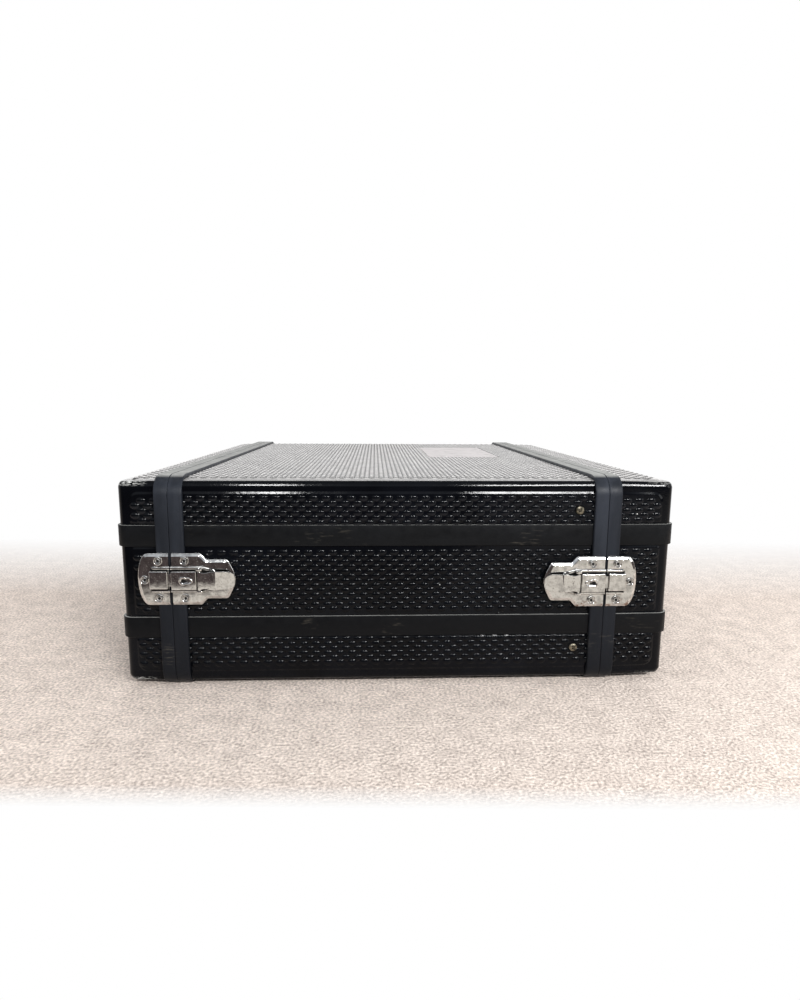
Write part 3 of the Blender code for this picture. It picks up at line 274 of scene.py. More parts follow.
def fillet(corners, steps=5):
    """An outline with rounded corners, from corners given as x, y and radius."""
    result = []
    count = len(corners)
    for i, (x, y, radius) in enumerate(corners):
        here = Vector((x, y))
        if radius <= 0:
            result.append((x, y))
            continue
        back = Vector(corners[i - 1][:2]) - here
        ahead = Vector(corners[(i + 1) % count][:2]) - here
        half = back.angle(ahead) / 2
        reach = min(radius / math.tan(half), 0.48 * back.length, 0.48 * ahead.length)
        turn_radius = reach * math.tan(half)
        to_centre = (back.normalized() + ahead.normalized()).normalized()
        centre = here + to_centre * (turn_radius / math.sin(half))
        first = here + back.normalized() * reach - centre
        last = here + ahead.normalized() * reach - centre
        start = math.atan2(first.y, first.x)
        turn = (math.atan2(last.y, last.x) - start + math.pi) % math.tau - math.pi
        for step in range(steps + 1):
            angle = start + turn * step / steps
            across, up = turn_radius * math.cos(angle), turn_radius * math.sin(angle)
            result.append((centre.x + across, centre.y + up))
    return result


def turns_left(outline):
    """Whether an outline runs counter-clockwise."""
    area = 0
    for i, (x, y) in enumerate(outline):
        before = outline[i - 1]
        area += before[0] * y - x * before[1]
    return area > 0


def inset(outline, distance):
    """The outline with each side moved inward."""
    turn = 1 if turns_left(outline) else -1
    result = []
    for i, point in enumerate(outline):
        here = Vector(point)
        first = (here - Vector(outline[i - 1])).normalized()
        second = (Vector(outline[(i + 1) % len(outline)]) - here).normalized()
        first_in = Vector((-first.y, first.x)) * turn
        inward = (first_in + Vector((-second.y, second.x)) * turn).normalized()
        result.append(tuple(here + inward * (distance / inward.dot(first_in))))
    return result


# Solids


def loft(loops, closed=False):
    """Closed solid through loops of equal count, with flat ends unless it closes on itself."""
    bm = bmesh.new()
    rows = [[bm.verts.new(point) for point in loop] for loop in loops]
    pairs = list(zip(rows, rows[1:]))
    if closed:
        pairs.append((rows[-1], rows[0]))
    else:
        bm.faces.new(rows[0])
        bm.faces.new(rows[-1])
    for low, high in pairs:
        for i, corner in enumerate(low):
            j = (i + 1) % len(low)
            bm.faces.new((corner, low[j], high[j], high[i]))
    bmesh.ops.recalc_face_normals(bm, faces=bm.faces)
    return bm


def gather(parts):
    """Several solids in one mesh."""
    whole = bmesh.new()
    for part in parts:
        mesh = bpy.data.meshes.new("gathered")
        part.to_mesh(mesh)
        part.free()
        whole.from_mesh(mesh)
        bpy.data.meshes.remove(mesh)
    return whole


def soften(bm, width, segments=3, limit_deg=30.0):
    """Rounds the sharp edges of a solid."""
    limit = math.radians(limit_deg)
    edges = [edge for edge in bm.edges if edge.is_manifold and edge.calc_face_angle() > limit]
    bmesh.ops.bevel(
        bm, geom=edges, offset=width, segments=segments, profile=0.5, affect="EDGES", clamp_overlap=True
    )
    return bm


def plain_mesh(obj):
    """The evaluated mesh of an object, as data of its own."""
    depsgraph = bpy.context.evaluated_depsgraph_get()
    return bpy.data.meshes.new_from_object(
        obj.evaluated_get(depsgraph), preserve_all_data_layers=True, depsgraph=depsgraph
    )


def new_object(name, data):
    """A new object, put in the scene."""
    obj = bpy.data.objects.new(name, data)
    bpy.context.scene.collection.objects.link(obj)
    return obj


def temporary(name, bm):
    """An object that only serves while a piece is made."""
    mesh = bpy.data.meshes.new(name)
    bm.to_mesh(mesh)
    bm.free()
    return new_object(name, mesh)


def cut(bm, cutter):
    """The solid with another one cut out of it."""
    obj = temporary("cut_base", bm)
    tool = temporary("cut_tool", cutter)
    modifier = obj.modifiers.new("cut", "BOOLEAN")
    modifier.operation = "DIFFERENCE"
    modifier.object = tool
    mesh = plain_mesh(obj)
    bpy.data.objects.remove(obj)
    bpy.data.objects.remove(tool)
    result = bmesh.new()
    result.from_mesh(mesh)
    bpy.data.meshes.remove(mesh)
    return result


def make_piece(name, bm, finish, body, nodes=(), crisp=False):
    """A finished piece that rides on a body and stands for its nodes."""
    bmesh.ops.recalc_face_normals(bm, faces=bm.faces)
    obj = temporary(name, bm)
    obj.data.shade_smooth()
    obj.data.set_sharp_from_angle(angle=math.radians(SMOOTH_ANGLE_DEG))
    obj.data.materials.clear()
    obj.data.materials.append(finish_named(finish))
    if crisp:
        modifier = obj.modifiers.new("flat_faces", "WEIGHTED_NORMAL")
        modifier.keep_sharp = True
        mesh = plain_mesh(obj)
        obj.modifiers.clear()
        obj.data = mesh
    obj.data.name = name
    if nodes:
        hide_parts(*nodes)
    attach(obj, body)


class Seat:
    """Turns lengths along, out from and up the side of the case into places in the world."""

    def __init__(self, end, side):
        self.end = end
        self.side = side

    def at(self, along, out, up):
        """The place in the world."""
        x = self.end.seam - self.end.out * along
        return Vector((x, self.side * (FACE_Y + out), self.end.latch_z + up))

    def plate(self, outline, outs):
        """An outline along and up, raised through several distances out."""
        return loft([[self.at(a, out, u) for a, u in outline] for out in outs])

    def bar(self, profile, ups):
        """A profile along and out, stretched upward."""
        return loft([[self.at(a, out, up) for a, out in profile] for up in ups])

    def run(self, profile, alongs):
        """A profile up and out, stretched along."""
        return loft([[self.at(along, out, up) for up, out in profile] for along in alongs])

    def block(self, along, out, up):
        """A block between pairs of limits."""
        corners = [(along[0], up[0]), (along[1], up[0]), (along[1], up[1]), (along[0], up[1])]
        return self.plate(corners, out)


# Finishes


def add_node(tree, kind, links=None, **settings):
    """A node with its settings; each input is set, or linked to a socket or a node's output in use."""
    node = tree.nodes.new(kind)
    for key, value in settings.items():
        setattr(node, key, value)
    for socket, value in (links or {}).items():
        if isinstance(value, bpy.types.Node):
            value = next(output for output in value.outputs if output.enabled)
        if isinstance(value, bpy.types.NodeSocket):
            tree.links.new(value, node.inputs[socket])
        else:
            node.inputs[socket].default_value = value
    return node


def start_finish(name, **settings):
    """A Principled material with constant settings, and its tree, shader and place socket."""
    material = bpy.data.materials.new(name)
    material.use_nodes = True
    tree = material.node_tree
    shader = tree.nodes["Principled BSDF"]
    for socket, value in settings.items():
        shader.inputs[socket.replace("_", " ")].default_value = value
    return material, tree, shader, add_node(tree, "ShaderNodeTexCoord").outputs["Object"]


def end_finish(tree, shader, colour, roughness, height, depth):
    """Colour, roughness and a relief of a real depth linked to the shader."""
    relief = add_node(tree, "ShaderNodeBump", {"Height": height, "Distance": depth, "Strength": 1.0})
    for socket, node in (("Base Color", colour), ("Roughness", roughness), ("Normal", relief)):
        output = next(output for output in node.outputs if output.enabled)
        tree.links.new(output, shader.inputs[socket])


def patches(tree, place, size, low, high, detail=4.0, stretch=(1.0, 1.0, 1.0), weak=0.0, strong=1.0):
    """Soft patches of a real size, longer along a stretched axis, from weak to strong."""
    scale = tuple(1 / (size * part) for part in stretch)
    mapped = add_node(tree, "ShaderNodeMapping", {"Vector": place, "Scale": scale})
    cloud = add_node(tree, "ShaderNodeTexNoise", {"Vector": mapped, "Scale": 1.0, "Detail": detail})
    return add_node(tree, "ShaderNodeMapRange", {0: cloud, 1: low, 2: high, 3: weak, 4: strong})


def specks(tree, place, spacing, radius, share):
    """Small round specks in a share of the cells of a pattern with a real spacing."""
    add = partial(add_node, tree)
    cells = add("ShaderNodeTexVoronoi", {"Vector": place, "Scale": 1 / spacing})
    edge = radius / spacing
    spot = add("ShaderNodeMapRange", {0: cells.outputs["Distance"], 1: edge, 2: edge / 2})
    cell = add("ShaderNodeSeparateColor", {0: cells.outputs["Color"]})
    chosen = add("ShaderNodeMath", {0: cell, 1: share}, operation="LESS_THAN")
    return add("ShaderNodeMath", {0: spot, 1: chosen}, operation="MULTIPLY")


def dust_and_sheen_on_top(tree, place, weak, strong):
    """Dust on what faces up, thicker in some places, which also serves as a painted sheen there."""
    add = partial(add_node, tree)
    normal = add("ShaderNodeNewGeometry").outputs["Normal"]
    parts = add("ShaderNodeSeparateXYZ", {0: normal})
    upward = add("ShaderNodeMapRange", {0: parts.outputs[2], 1: 0.87, 2: 0.985})
    cover = patches(tree, place, 0.016, 0.30, 0.70, weak=weak, strong=strong)
    return add("ShaderNodeMath", {0: upward, 1: cover}, operation="MULTIPLY")


def side_reach(tree, place):
    """How far a place lies out from the case's middle towards a side, the lids' taper taken out."""
    add = partial(add_node, tree)
    shift = (-(FRONT_SEAM + REAR_SEAM) / 2, 0, 0)
    moved = add("ShaderNodeMapping", {"Vector": place, "Location": shift})
    sized = add("ShaderNodeVectorMath", {0: moved}, operation="ABSOLUTE")
    along, out, _ = add("ShaderNodeSeparateXYZ", {0: sized}).outputs
    half = (FRONT_SEAM - REAR_SEAM) / 2
    taper = add("ShaderNodeMapRange", {0: along, 1: half, 2: half + 0.1, 4: 0.1 * LID_SLOPE})
    return add("ShaderNodeMath", {0: out, 1: taper}, operation="ADD")


def scuffed_corners(tree, place):
    """White scratches along the case's top and bottom end corners, most of them at the rear."""
    add = partial(add_node, tree)
    moved = add("ShaderNodeMapping", {"Vector": place, "Location": (0, 0, -MID_Z)})
    sized = add("ShaderNodeVectorMath", {0: moved}, operation="ABSOLUTE")
    parts = add("ShaderNodeSeparateXYZ", {0: sized})
    length_there = add("ShaderNodeSeparateXYZ", {0: place})
    half_length = FRONT.seam + FRONT.depth
    half_height = TOP_Z - MID_Z
    limits = (
        (parts.outputs[0], half_length - 0.030, half_length - 0.014, 0.0),
        (parts.outputs[1], FACE_Y - 0.012, FACE_Y - 0.006, 0.0),
        (parts.outputs[2], half_height - 0.0055, half_height - 0.0025, 0.0),
        (length_there.outputs[0], 0.001, 0.0, 0.25),
    )
    mask = patches(tree, place, 0.0017, 0.50, 0.56, 6.0, (2.2, 1.0, 0.7))
    for value, start, end, least in limits:
        here = add("ShaderNodeMapRange", {0: value, 1: start, 2: end, 3: least})
        mask = add("ShaderNodeMath", {0: mask, 1: here}, operation="MULTIPLY")
    return mask


def paler(colour, factor):
    """A colour with each part scaled and limited."""
    return (*(min(1.0, part * factor) for part in tuple(colour)[:3]), 1.0)


def make_abs_vacuum_formed(colours):
    """ABS sheet, vacuum formed: a wet-looking black, with orange peel, white scuffs, a painted reflection
    and painted shade on the studs, and dust with a painted sheen on top.
    """
    material, tree, shader, place = start_finish("abs_vacuum_formed", IOR=1.50, Specular_IOR_Level=0.13)
    add = partial(add_node, tree)
    tone = patches(tree, place, 0.050, 0.38, 0.66)
    links = {0: tone, 6: tuple(colours.shell), 7: paler(colours.shell, 1.8)}
    black = add("ShaderNodeMix", links, data_type="RGBA")
    # The studs are painted paler than the valleys between them, most of all on their undersides and high up
    # on the sides: a painted reflection of the pale floor, with painted shade in the valleys
    high = add("ShaderNodeSeparateXYZ", {0: place}).outputs[2]
    rise = add("ShaderNodeMapRange", {0: high, 1: 0.11, 2: 0.18})
    painted_reflection = add("ShaderNodeMix", {0: rise, 6: linear("#08090b"), 7: linear("#16171b")}, data_type="RGBA")
    normal = add("ShaderNodeNewGeometry").outputs["Normal"]
    tilt = add("ShaderNodeSeparateXYZ", {0: normal}).outputs[2]
    under = add("ShaderNodeMapRange", {0: tilt, 1: -0.02, 2: -0.30, 3: 0.10, 4: 1.0})
    reach = side_reach(tree, place)
    field = FACE_Y + FIELD_HEIGHT
    proud = add("ShaderNodeMapRange", {0: reach, 1: field + 0.0001, 2: field + 0.0006})
    left = add("ShaderNodeMath", {0: proud, 1: under}, operation="MULTIPLY")
    colour = add("ShaderNodeMix", {0: left, 6: black, 7: painted_reflection}, data_type="RGBA")
    # The dust and painted sheen thin out towards the rims of the top, which leaves a darker band along its
    # edges
    rim = add("ShaderNodeMapRange", {0: reach, 1: FACE_Y - 0.019, 2: FACE_Y - 0.010, 3: 1.0, 4: 0.45})
    outside = add("ShaderNodeMapRange", {0: high, 1: TOP_Z - 0.010, 2: TOP_Z - 0.004})
    shown = add("ShaderNodeMath", {0: outside, 1: rim}, operation="MULTIPLY")
    # Pale dust on the top, whose colour also paints the sheen of the bright backdrop seen at a glancing
    # angle
    top_cover = dust_and_sheen_on_top(tree, place, 0.72, 1.0)
    dust_and_sheen = add("ShaderNodeMath", {0: top_cover, 1: shown}, operation="MULTIPLY")
    colour = add("ShaderNodeMix", {0: dust_and_sheen, 6: colour, 7: linear("#dedbd8")}, data_type="RGBA")
    dots = specks(tree, place, 0.019, 0.0008, 0.14)
    scuffs = scuffed_corners(tree, place)
    marks = add("ShaderNodeMath", {0: scuffs, 1: dots}, operation="MAXIMUM")
    colour = add("ShaderNodeMix", {0: marks, 6: colour, 7: linear("#c9cac6")}, data_type="RGBA")
    matt = add("ShaderNodeMath", {0: marks, 1: dust_and_sheen}, operation="MAXIMUM")
    gloss = patches(tree, place, 0.018, 0.35, 0.70, 5.0, weak=0.07, strong=0.14)
    rough = add("ShaderNodeMath", {0: matt, 1: 0.35, 2: gloss}, operation="MULTIPLY_ADD")
    # Orange peel of formed sheet: lumps about 4 mm apart
    peel = patches(tree, place, 0.0042, 0.2, 0.8, 2.0)
    height = add("ShaderNodeMath", {0: marks, 1: 0.5, 2: peel}, operation="MULTIPLY_ADD")
    end_finish(tree, shader, colour, rough, height, 0.00003)
    return material


def pvc_finish(name, colour_of, streaks, foot):
    """Extruded PVC of a colour: streaked along an axis, a share as pale at its foot, scuffed, and dusty
    with a painted sheen on top.
    """
    material, tree, shader, place = start_finish(name, IOR=1.52, Specular_IOR_Level=0.12)
    add = partial(add_node, tree)
    tone = patches(tree, place, 0.012, 0.35, 0.70, 5.0, streaks)
    links = {0: tone, 6: paler(colour_of, 0.75), 7: paler(colour_of, 1.45)}
    colour = add("ShaderNodeMix", links, data_type="RGBA")
    high = add("ShaderNodeSeparateXYZ", {0: place}).outputs[2]
    rise = add("ShaderNodeMapRange", {0: high, 1: 0.02, 2: 0.18})
    colour = add("ShaderNodeMix", {0: rise, 6: paler(colour_of, foot), 7: colour}, data_type="RGBA")
    # Scuffs are 5 to 15 mm long and lie in a few rubbed places
    scuff = patches(tree, place, 0.0030, 0.54, 0.66, 6.0, (4.0, 1.0, 0.8), strong=0.20)
    rubbed = patches(tree, place, 0.040, 0.60, 0.70, 2.0)
    worn = add("ShaderNodeMath", {0: scuff, 1: rubbed}, operation="MULTIPLY")
    colour = add("ShaderNodeMix", {0: worn, 6: colour, 7: linear("#716b60")}, data_type="RGBA")
    # Dust on top, which also paints the sheen of the bright backdrop on what faces up
    dust_and_sheen = dust_and_sheen_on_top(tree, place, 0.55, 0.95)
    colour = add("ShaderNodeMix", {0: dust_and_sheen, 6: colour, 7: linear("#a3a39f")}, data_type="RGBA")
    gloss = patches(tree, place, 0.006, 0.30, 0.70, weak=0.34, strong=0.50)
    rough = add("ShaderNodeMath", {0: dust_and_sheen, 1: 0.3, 2: gloss}, operation="MULTIPLY_ADD")
    # Draw lines along the profile, as coarse as they need to be to show
    lines = patches(tree, place, 0.0009, 0.2, 0.8, 3.0, streaks)
    end_finish(tree, shader, colour, rough, lines, 0.00003)
    return material


def make_pvc_extruded(colours):
    """Extruded PVC of the joint bands: satin black, with draw lines along them and brown scuffs."""
    return pvc_finish("pvc_extruded", colours.profile, (6.0, 1.0, 1.0), 1.0)


def make_pvc_extruded_faded(colours):
    """Extruded PVC of the closure rings: faded to a blue-grey by handling, streaked up and down."""
    return pvc_finish("pvc_extruded_faded", colours.ring, (1.0, 1.0, 6.0), 0.4)


def make_steel_chrome_plated(colours):
    """Chrome plate on pressed steel: mirror-like, with hazy patches, dull pits and rust at its foot."""
    material, tree, shader, place = start_finish("steel_chrome_plated", Metallic=1.0)
    add = partial(add_node, tree)
    haze = patches(tree, place, 0.006, 0.44, 0.66, 5.0)
    links = {0: haze, 6: tuple(colours.chrome), 7: paler(colours.chrome, 0.66)}
    colour = add("ShaderNodeMix", links, data_type="RGBA")
    # Dull pits where the plate is worn, about 2 mm apart
    pits = patches(tree, place, 0.0011, 0.60, 0.68, 5.0, strong=0.75)
    colour = add("ShaderNodeMix", {0: pits, 6: colour, 7: linear("#4d4740")}, data_type="RGBA")
    height = add("ShaderNodeSeparateXYZ", {0: place}).outputs[2]
    foot = add("ShaderNodeMapRange", {0: height, 1: REAR.latch_z - 0.020, 2: REAR.latch_z - 0.0265})
    bloom = patches(tree, place, 0.0035, 0.56, 0.66, 5.0, strong=0.8)
    rust = add("ShaderNodeMath", {0: foot, 1: bloom}, operation="MULTIPLY")
    colour = add("ShaderNodeMix", {0: rust, 6: colour, 7: tuple(colours.rust)}, data_type="RGBA")
    gloss = patches(tree, place, 0.005, 0.45, 0.75, 5.0, weak=0.04, strong=0.12)
    worn = add("ShaderNodeMath", {0: rust, 1: pits}, operation="MAXIMUM")
    rough = add("ShaderNodeMath", {0: worn, 1: 0.35, 2: gloss}, operation="MULTIPLY_ADD")
    # Waves of pressed sheet under the plate, 5 mm long
    waves = patches(tree, place, 0.0055, 0.2, 0.8, 2.0)
    end_finish(tree, shader, colour, rough, waves, 0.000012)
    return material


def make_steel_blackened(colours):
    """Dark, dull and uneven steel, used as painted shade in the keyhole, the latches' grooves and the
    rivets' holes.
    """
    material, tree, shader, place = start_finish("steel_blackened", Metallic=0.6)
    tone = patches(tree, place, 0.0015, 0.35, 0.65)
    dark = linear("#0c0b0a")
    colour = add_node(tree, "ShaderNodeMix", {0: tone, 6: dark, 7: paler(dark, 2.5)}, data_type="RGBA")
    rough = patches(tree, place, 0.001, 0.3, 0.7, weak=0.45, strong=0.65)
    end_finish(tree, shader, colour, rough, tone, 0.00005)
    return material


def make_steel_zinc_yellow(colours):
    """Yellow zinc plate on steel: a dulled straw colour with dirt in its recess."""
    material, tree, shader, place = start_finish("steel_zinc_yellow", Metallic=1.0)
    dirt = patches(tree, place, 0.0024, 0.44, 0.62, 5.0, strong=0.9)
    links = {0: dirt, 6: tuple(colours.zinc), 7: linear("#26241f")}
    colour = add_node(tree, "ShaderNodeMix", links, data_type="RGBA")
    rough = patches(tree, place, 0.0012, 0.35, 0.65, weak=0.26, strong=0.5)
    end_finish(tree, shader, colour, rough, dirt, 0.00008)
    return material


def make_steel_zinc_clear(colours):
    """Clear zinc plate on rolled steel: pale grey with a soft spangle and roll lines."""
    material, tree, shader, place = start_finish("steel_zinc_clear", Metallic=1.0)
    spangle = patches(tree, place, 0.006, 0.35, 0.68, strong=0.5)
    links = {0: spangle, 6: tuple(colours.rail), 7: linear("#74797d")}
    colour = add_node(tree, "ShaderNodeMix", links, data_type="RGBA")
    # Roll lines run up the rail
    lines = patches(tree, place, 0.0007, 0.3, 0.7, 3.0, (1.0, 1.0, 12.0), 0.28, 0.46)
    end_finish(tree, shader, colour, lines, lines, 0.00004)
    return material


def make_aluminium_foil_label(colours):
    """Satin aluminium foil: pale and slightly warm, with rubbed patches and fine scratches."""
    material, tree, shader, place = start_finish("aluminium_foil_label", Metallic=0.25)
    rubbed = patches(tree, place, 0.011, 0.50, 0.64, 6.0, strong=0.75)
    links = {0: rubbed, 6: tuple(colours.label), 7: linear("#989290")}
    colour = add_node(tree, "ShaderNodeMix", links, data_type="RGBA")
    scratches = patches(tree, place, 0.0009, 0.3, 0.7, 4.0, (1.0, 8.0, 1.0), 0.36, 0.52)
    end_finish(tree, shader, colour, scratches, scratches, 0.00003)
    return material


def make_pvc_soft_moulded(colours):
    """Soft moulded PVC: black, satin and finely grained."""
    material, tree, shader, place = start_finish("pvc_soft_moulded", IOR=1.52, Specular_IOR_Level=0.35)
    worn = patches(tree, place, 0.010, 0.40, 0.70)
    links = {0: worn, 6: tuple(colours.grip), 7: paler(colours.grip, 2.2)}
    colour = add_node(tree, "ShaderNodeMix", links, data_type="RGBA")
    rough = patches(tree, place, 0.004, 0.3, 0.7, weak=0.40, strong=0.58)
    end_finish(tree, shader, colour, rough, patches(tree, place, 0.0009, 0.3, 0.7, 3.0), 0.0001)
    return material


FINISHES = {
    make.__name__.removeprefix("make_"): make
    for make in (
        make_abs_vacuum_formed, make_pvc_extruded, make_pvc_extruded_faded, make_steel_chrome_plated,
        make_steel_blackened, make_steel_zinc_yellow, make_steel_zinc_clear, make_aluminium_foil_label,
        make_pvc_soft_moulded,
    )
}


def finish_named(name):
    """A finish, made the first time that it is asked for."""
    found = bpy.data.materials.get(name)
    return found or FINISHES[name](bpy.context.scene.rack_case_colours)


# Geometry Nodes trees


def start_tree(name, sockets):
    """A geometry tree with named inputs, and its input and output nodes."""
    tree = bpy.data.node_groups.new(name, "GeometryNodeTree")
    tree.interface.new_socket(name="Geometry", in_out="INPUT", socket_type="NodeSocketGeometry")
    for label, kind, default in sockets:
        socket = tree.interface.new_socket(name=label, in_out="INPUT", socket_type=f"NodeSocket{kind}")
        if default is not None:
            socket.default_value = default
    tree.interface.new_socket(name="Geometry", in_out="OUTPUT", socket_type="NodeSocketGeometry")
    return tree, add_node(tree, "NodeGroupInput").outputs, add_node(tree, "NodeGroupOutput")


def end_tree(tree, output, instances, material):
    """The usual end: instances made real, smooth and of one material."""
    real = add_node(tree, "GeometryNodeRealizeInstances", {"Geometry": instances})
    smooth = add_node(tree, "GeometryNodeSetShadeSmooth", {"Geometry": real})
    finished = add_node(tree, "GeometryNodeSetMaterial", {"Geometry": smooth, "Material": material})
    tree.links.new(finished.outputs[0], output.inputs[0])


def run_tree(tree, mesh, values):
    """The solid that a tree makes from a carrier mesh."""
    obj = new_object("carrier", mesh)
    modifier = obj.modifiers.new("tree", "NODES")
    modifier.node_group = tree
    sockets = {}
    for item in tree.interface.items_tree:
        if item.item_type == "SOCKET" and item.in_out == "INPUT":
            sockets[item.name] = item.identifier
    for name, value in values.items():
        modifier[sockets[name]] = value
    result = bmesh.new()
    result.from_mesh(plain_mesh(obj))
    bpy.data.objects.remove(obj)
    return result


def stud_dome(tree, inputs):
    """One low dome with a flat underside: the cap of a unit ball, down to 60 degrees from its pole."""
    add = partial(add_node, tree)
    cap_height = 0.5
    cap_radius = math.sin(math.radians(60))
    ball = add("GeometryNodeMeshUVSphere", {"Segments": inputs["Segments"], "Rings": inputs["Rings"]})
    place = add("GeometryNodeInputPosition")
    height = add("ShaderNodeSeparateXYZ", {0: place}).outputs[2]
    below = add("ShaderNodeMath", {0: height, 1: cap_height - 0.01}, operation="LESS_THAN")
    cap = add("GeometryNodeDeleteGeometry", {0: ball, 1: below})
    dome = add("GeometryNodeConvexHull", {0: cap.outputs[0]})
    rise = add("ShaderNodeMath", {0: inputs["Stud Rise"], 1: SINK}, operation="ADD")
    sizes = (
        (inputs["Stud Length"], 2 * cap_radius), (inputs["Stud Width"], 2 * cap_radius), (rise, cap_height)
    )
    scale = add("ShaderNodeCombineXYZ")
    for axis, (size, part) in enumerate(sizes):
        share = add("ShaderNodeMath", {0: size, 1: part}, operation="DIVIDE")
        tree.links.new(share.outputs[0], scale.inputs[axis])
    drop = add("ShaderNodeMath", {0: rise, 1: -1.0, 2: -SINK}, operation="MULTIPLY_ADD")
    offset = add("ShaderNodeCombineXYZ", {2: drop})
    return add("GeometryNodeTransform", {"Geometry": dome, "Translation": offset, "Scale": scale})


def stud_grid(tree, inputs):
    """Points in staggered rows, centred on the carrier."""
    add = partial(add_node, tree)
    box = add("GeometryNodeBoundBox", {0: inputs["Geometry"]})
    low, high = box.outputs["Min"], box.outputs["Max"]
    size = add("ShaderNodeVectorMath", {0: high, 1: low}, operation="SUBTRACT")
    centre = add("ShaderNodeMix", {0: 0.5, 4: low, 5: high}, data_type="VECTOR")
    sides = add("ShaderNodeSeparateXYZ", {0: size})
    pitch, rows = inputs["Stud Pitch"], inputs["Stud Rows"]
    usable = add("ShaderNodeMath", {0: pitch, 1: -0.5, 2: sides.outputs[0]}, operation="MULTIPLY_ADD")
    counts = []
    for length, spacing in ((usable, pitch), (sides.outputs[1], rows)):
        share = add("ShaderNodeMath", {0: length, 1: spacing}, operation="DIVIDE")
        counts.append(add("ShaderNodeMath", {0: share}, operation="FLOOR"))
    links = {}
    for axis, count, spacing in (("X", counts[0], pitch), ("Y", counts[1], rows)):
        links[f"Size {axis}"] = add("ShaderNodeMath", {0: count, 1: spacing}, operation="MULTIPLY")
        links[f"Vertices {axis}"] = add("ShaderNodeMath", {0: count, 1: 1.0}, operation="ADD")
    grid = add("GeometryNodeMeshGrid", links)
    place = add("GeometryNodeInputPosition")
    level = add("ShaderNodeSeparateXYZ", {0: place}).outputs[1]
    start = add("ShaderNodeMath", {0: links["Size Y"], 1: 0.5, 2: level}, operation="MULTIPLY_ADD")
    row = add("ShaderNodeMath", {0: start, 1: rows}, operation="DIVIDE")
    row = add("ShaderNodeMath", {0: row}, operation="ROUND")
    odd = add("ShaderNodeMath", {0: row, 1: 2.0}, operation="FLOORED_MODULO")
    # Odd rows move a quarter pitch one way and even rows as far the other way
    side = add("ShaderNodeMath", {0: odd, 1: 0.5, 2: -0.25}, operation="MULTIPLY_ADD")
    shift = add("ShaderNodeMath", {0: side, 1: pitch}, operation="MULTIPLY")
    step = add("ShaderNodeCombineXYZ", {0: shift})
    staggered = add("GeometryNodeSetPosition", {"Geometry": grid, "Offset": step})
    return add("GeometryNodeTransform", {"Geometry": staggered, "Translation": centre})


def stud_tree():
    """Staggered rows of domes over a flat carrier, away from what keeps clear."""
    found = bpy.data.node_groups.get("stud_field")
    if found:
        return found
    sockets = (
        ("Stud Pitch", "Float", 0.0117),
        ("Stud Rows", "Float", 0.0047),
        ("Stud Length", "Float", 0.0100),
        ("Stud Width", "Float", 0.0080),
        ("Stud Rise", "Float", 0.0013),
        ("Segments", "Int", 8),
        ("Rings", "Int", 6),
        ("Keep Clear", "Object", None),
        ("Clear Margin", "Float", STUD_CLEAR),
        ("Material", "Material", None),
    )
    tree, inputs, output = start_tree("stud_field", sockets)
    add = partial(add_node, tree)
    info = add("GeometryNodeObjectInfo", {"Object": inputs["Keep Clear"]})
    near = add("GeometryNodeProximity", {"Geometry": info.outputs["Geometry"]})
    links = {0: near.outputs["Distance"], 1: inputs["Clear Margin"]}
    covered = add("ShaderNodeMath", links, operation="LESS_THAN")
    points = add("GeometryNodeDeleteGeometry", {0: stud_grid(tree, inputs), 1: covered})
    studs = add("GeometryNodeInstanceOnPoints", {"Points": points, "Instance": stud_dome(tree, inputs)})
    end_tree(tree, output, studs, inputs["Material"])
    return tree


def fastener_tree():
    """A fastener on each point, its axis along the point's facing, turned by a seeded angle."""
    found = bpy.data.node_groups.get("fasteners")
    if found:
        return found
    sockets = (
        ("Fastener", "Object", None),
        ("Scale", "Float", 1.0),
        ("Seed", "Int", 7),
        ("Material", "Material", None),
    )
    tree, inputs, output = start_tree("fasteners", sockets)
    add = partial(add_node, tree)
    facing = add("GeometryNodeInputNamedAttribute", {"Name": "facing"}, data_type="FLOAT_VECTOR")
    aligned = add("FunctionNodeAlignRotationToVector", {"Vector": facing.outputs[0]}, axis="Z")
    angle = add("FunctionNodeRandomValue", {2: 0.0, 3: math.tau, "Seed": inputs["Seed"]}, data_type="FLOAT")
    spin = add("FunctionNodeAxisAngleToRotation", {"Axis": (0, 0, 1), "Angle": angle.outputs[1]})
    links = {"Rotation": aligned, "Rotate By": spin}
    turned = add("FunctionNodeRotateRotation", links, rotation_space="LOCAL")
    info = add("GeometryNodeObjectInfo", {"Object": inputs["Fastener"]})
    links = {
        "Points": inputs["Geometry"],
        "Instance": info.outputs["Geometry"],
        "Rotation": turned,
        "Scale": inputs["Scale"],
    }
    placed = add("GeometryNodeInstanceOnPoints", links)
    end_tree(tree, output, placed, inputs["Material"])
    return tree


def spread(fastener, places, seed, finish):
    """Copies of a fastener at places, each a point and the direction that it faces."""
    mesh = bpy.data.meshes.new("places")
    mesh.from_pydata([tuple(point) for point, _ in places], [], [])
    facing = mesh.attributes.new("facing", "FLOAT_VECTOR", "POINT")
    for i, (_, direction) in enumerate(places):
        facing.data[i].vector = direction
    pattern = temporary("fastener", fastener)
    values = {"Fastener": pattern, "Scale": 1.0, "Seed": seed, "Material": finish_named(finish)}
    result = run_tree(fastener_tree(), mesh, values)
    bpy.data.objects.remove(pattern)
    return result


# Raised fields with studs


def frame_of(origin, along, up, out):
    """Matrix from a field's own plane to the world."""
    matrix = Matrix.Identity(4)
    for column, vector in enumerate((along, up, out, origin)):
        for row in range(3):
            matrix[row][column] = vector[row]
    return matrix


# The slope round a raised field: shares of its width and of the field's height
PAD_SLOPE_SHARES = ((0, 0), (0.06, 0.04), (0.14, 0.12), (0.86, 0.89), (0.94, 0.97), (1.0, 1.0), (1.3, 1.0))


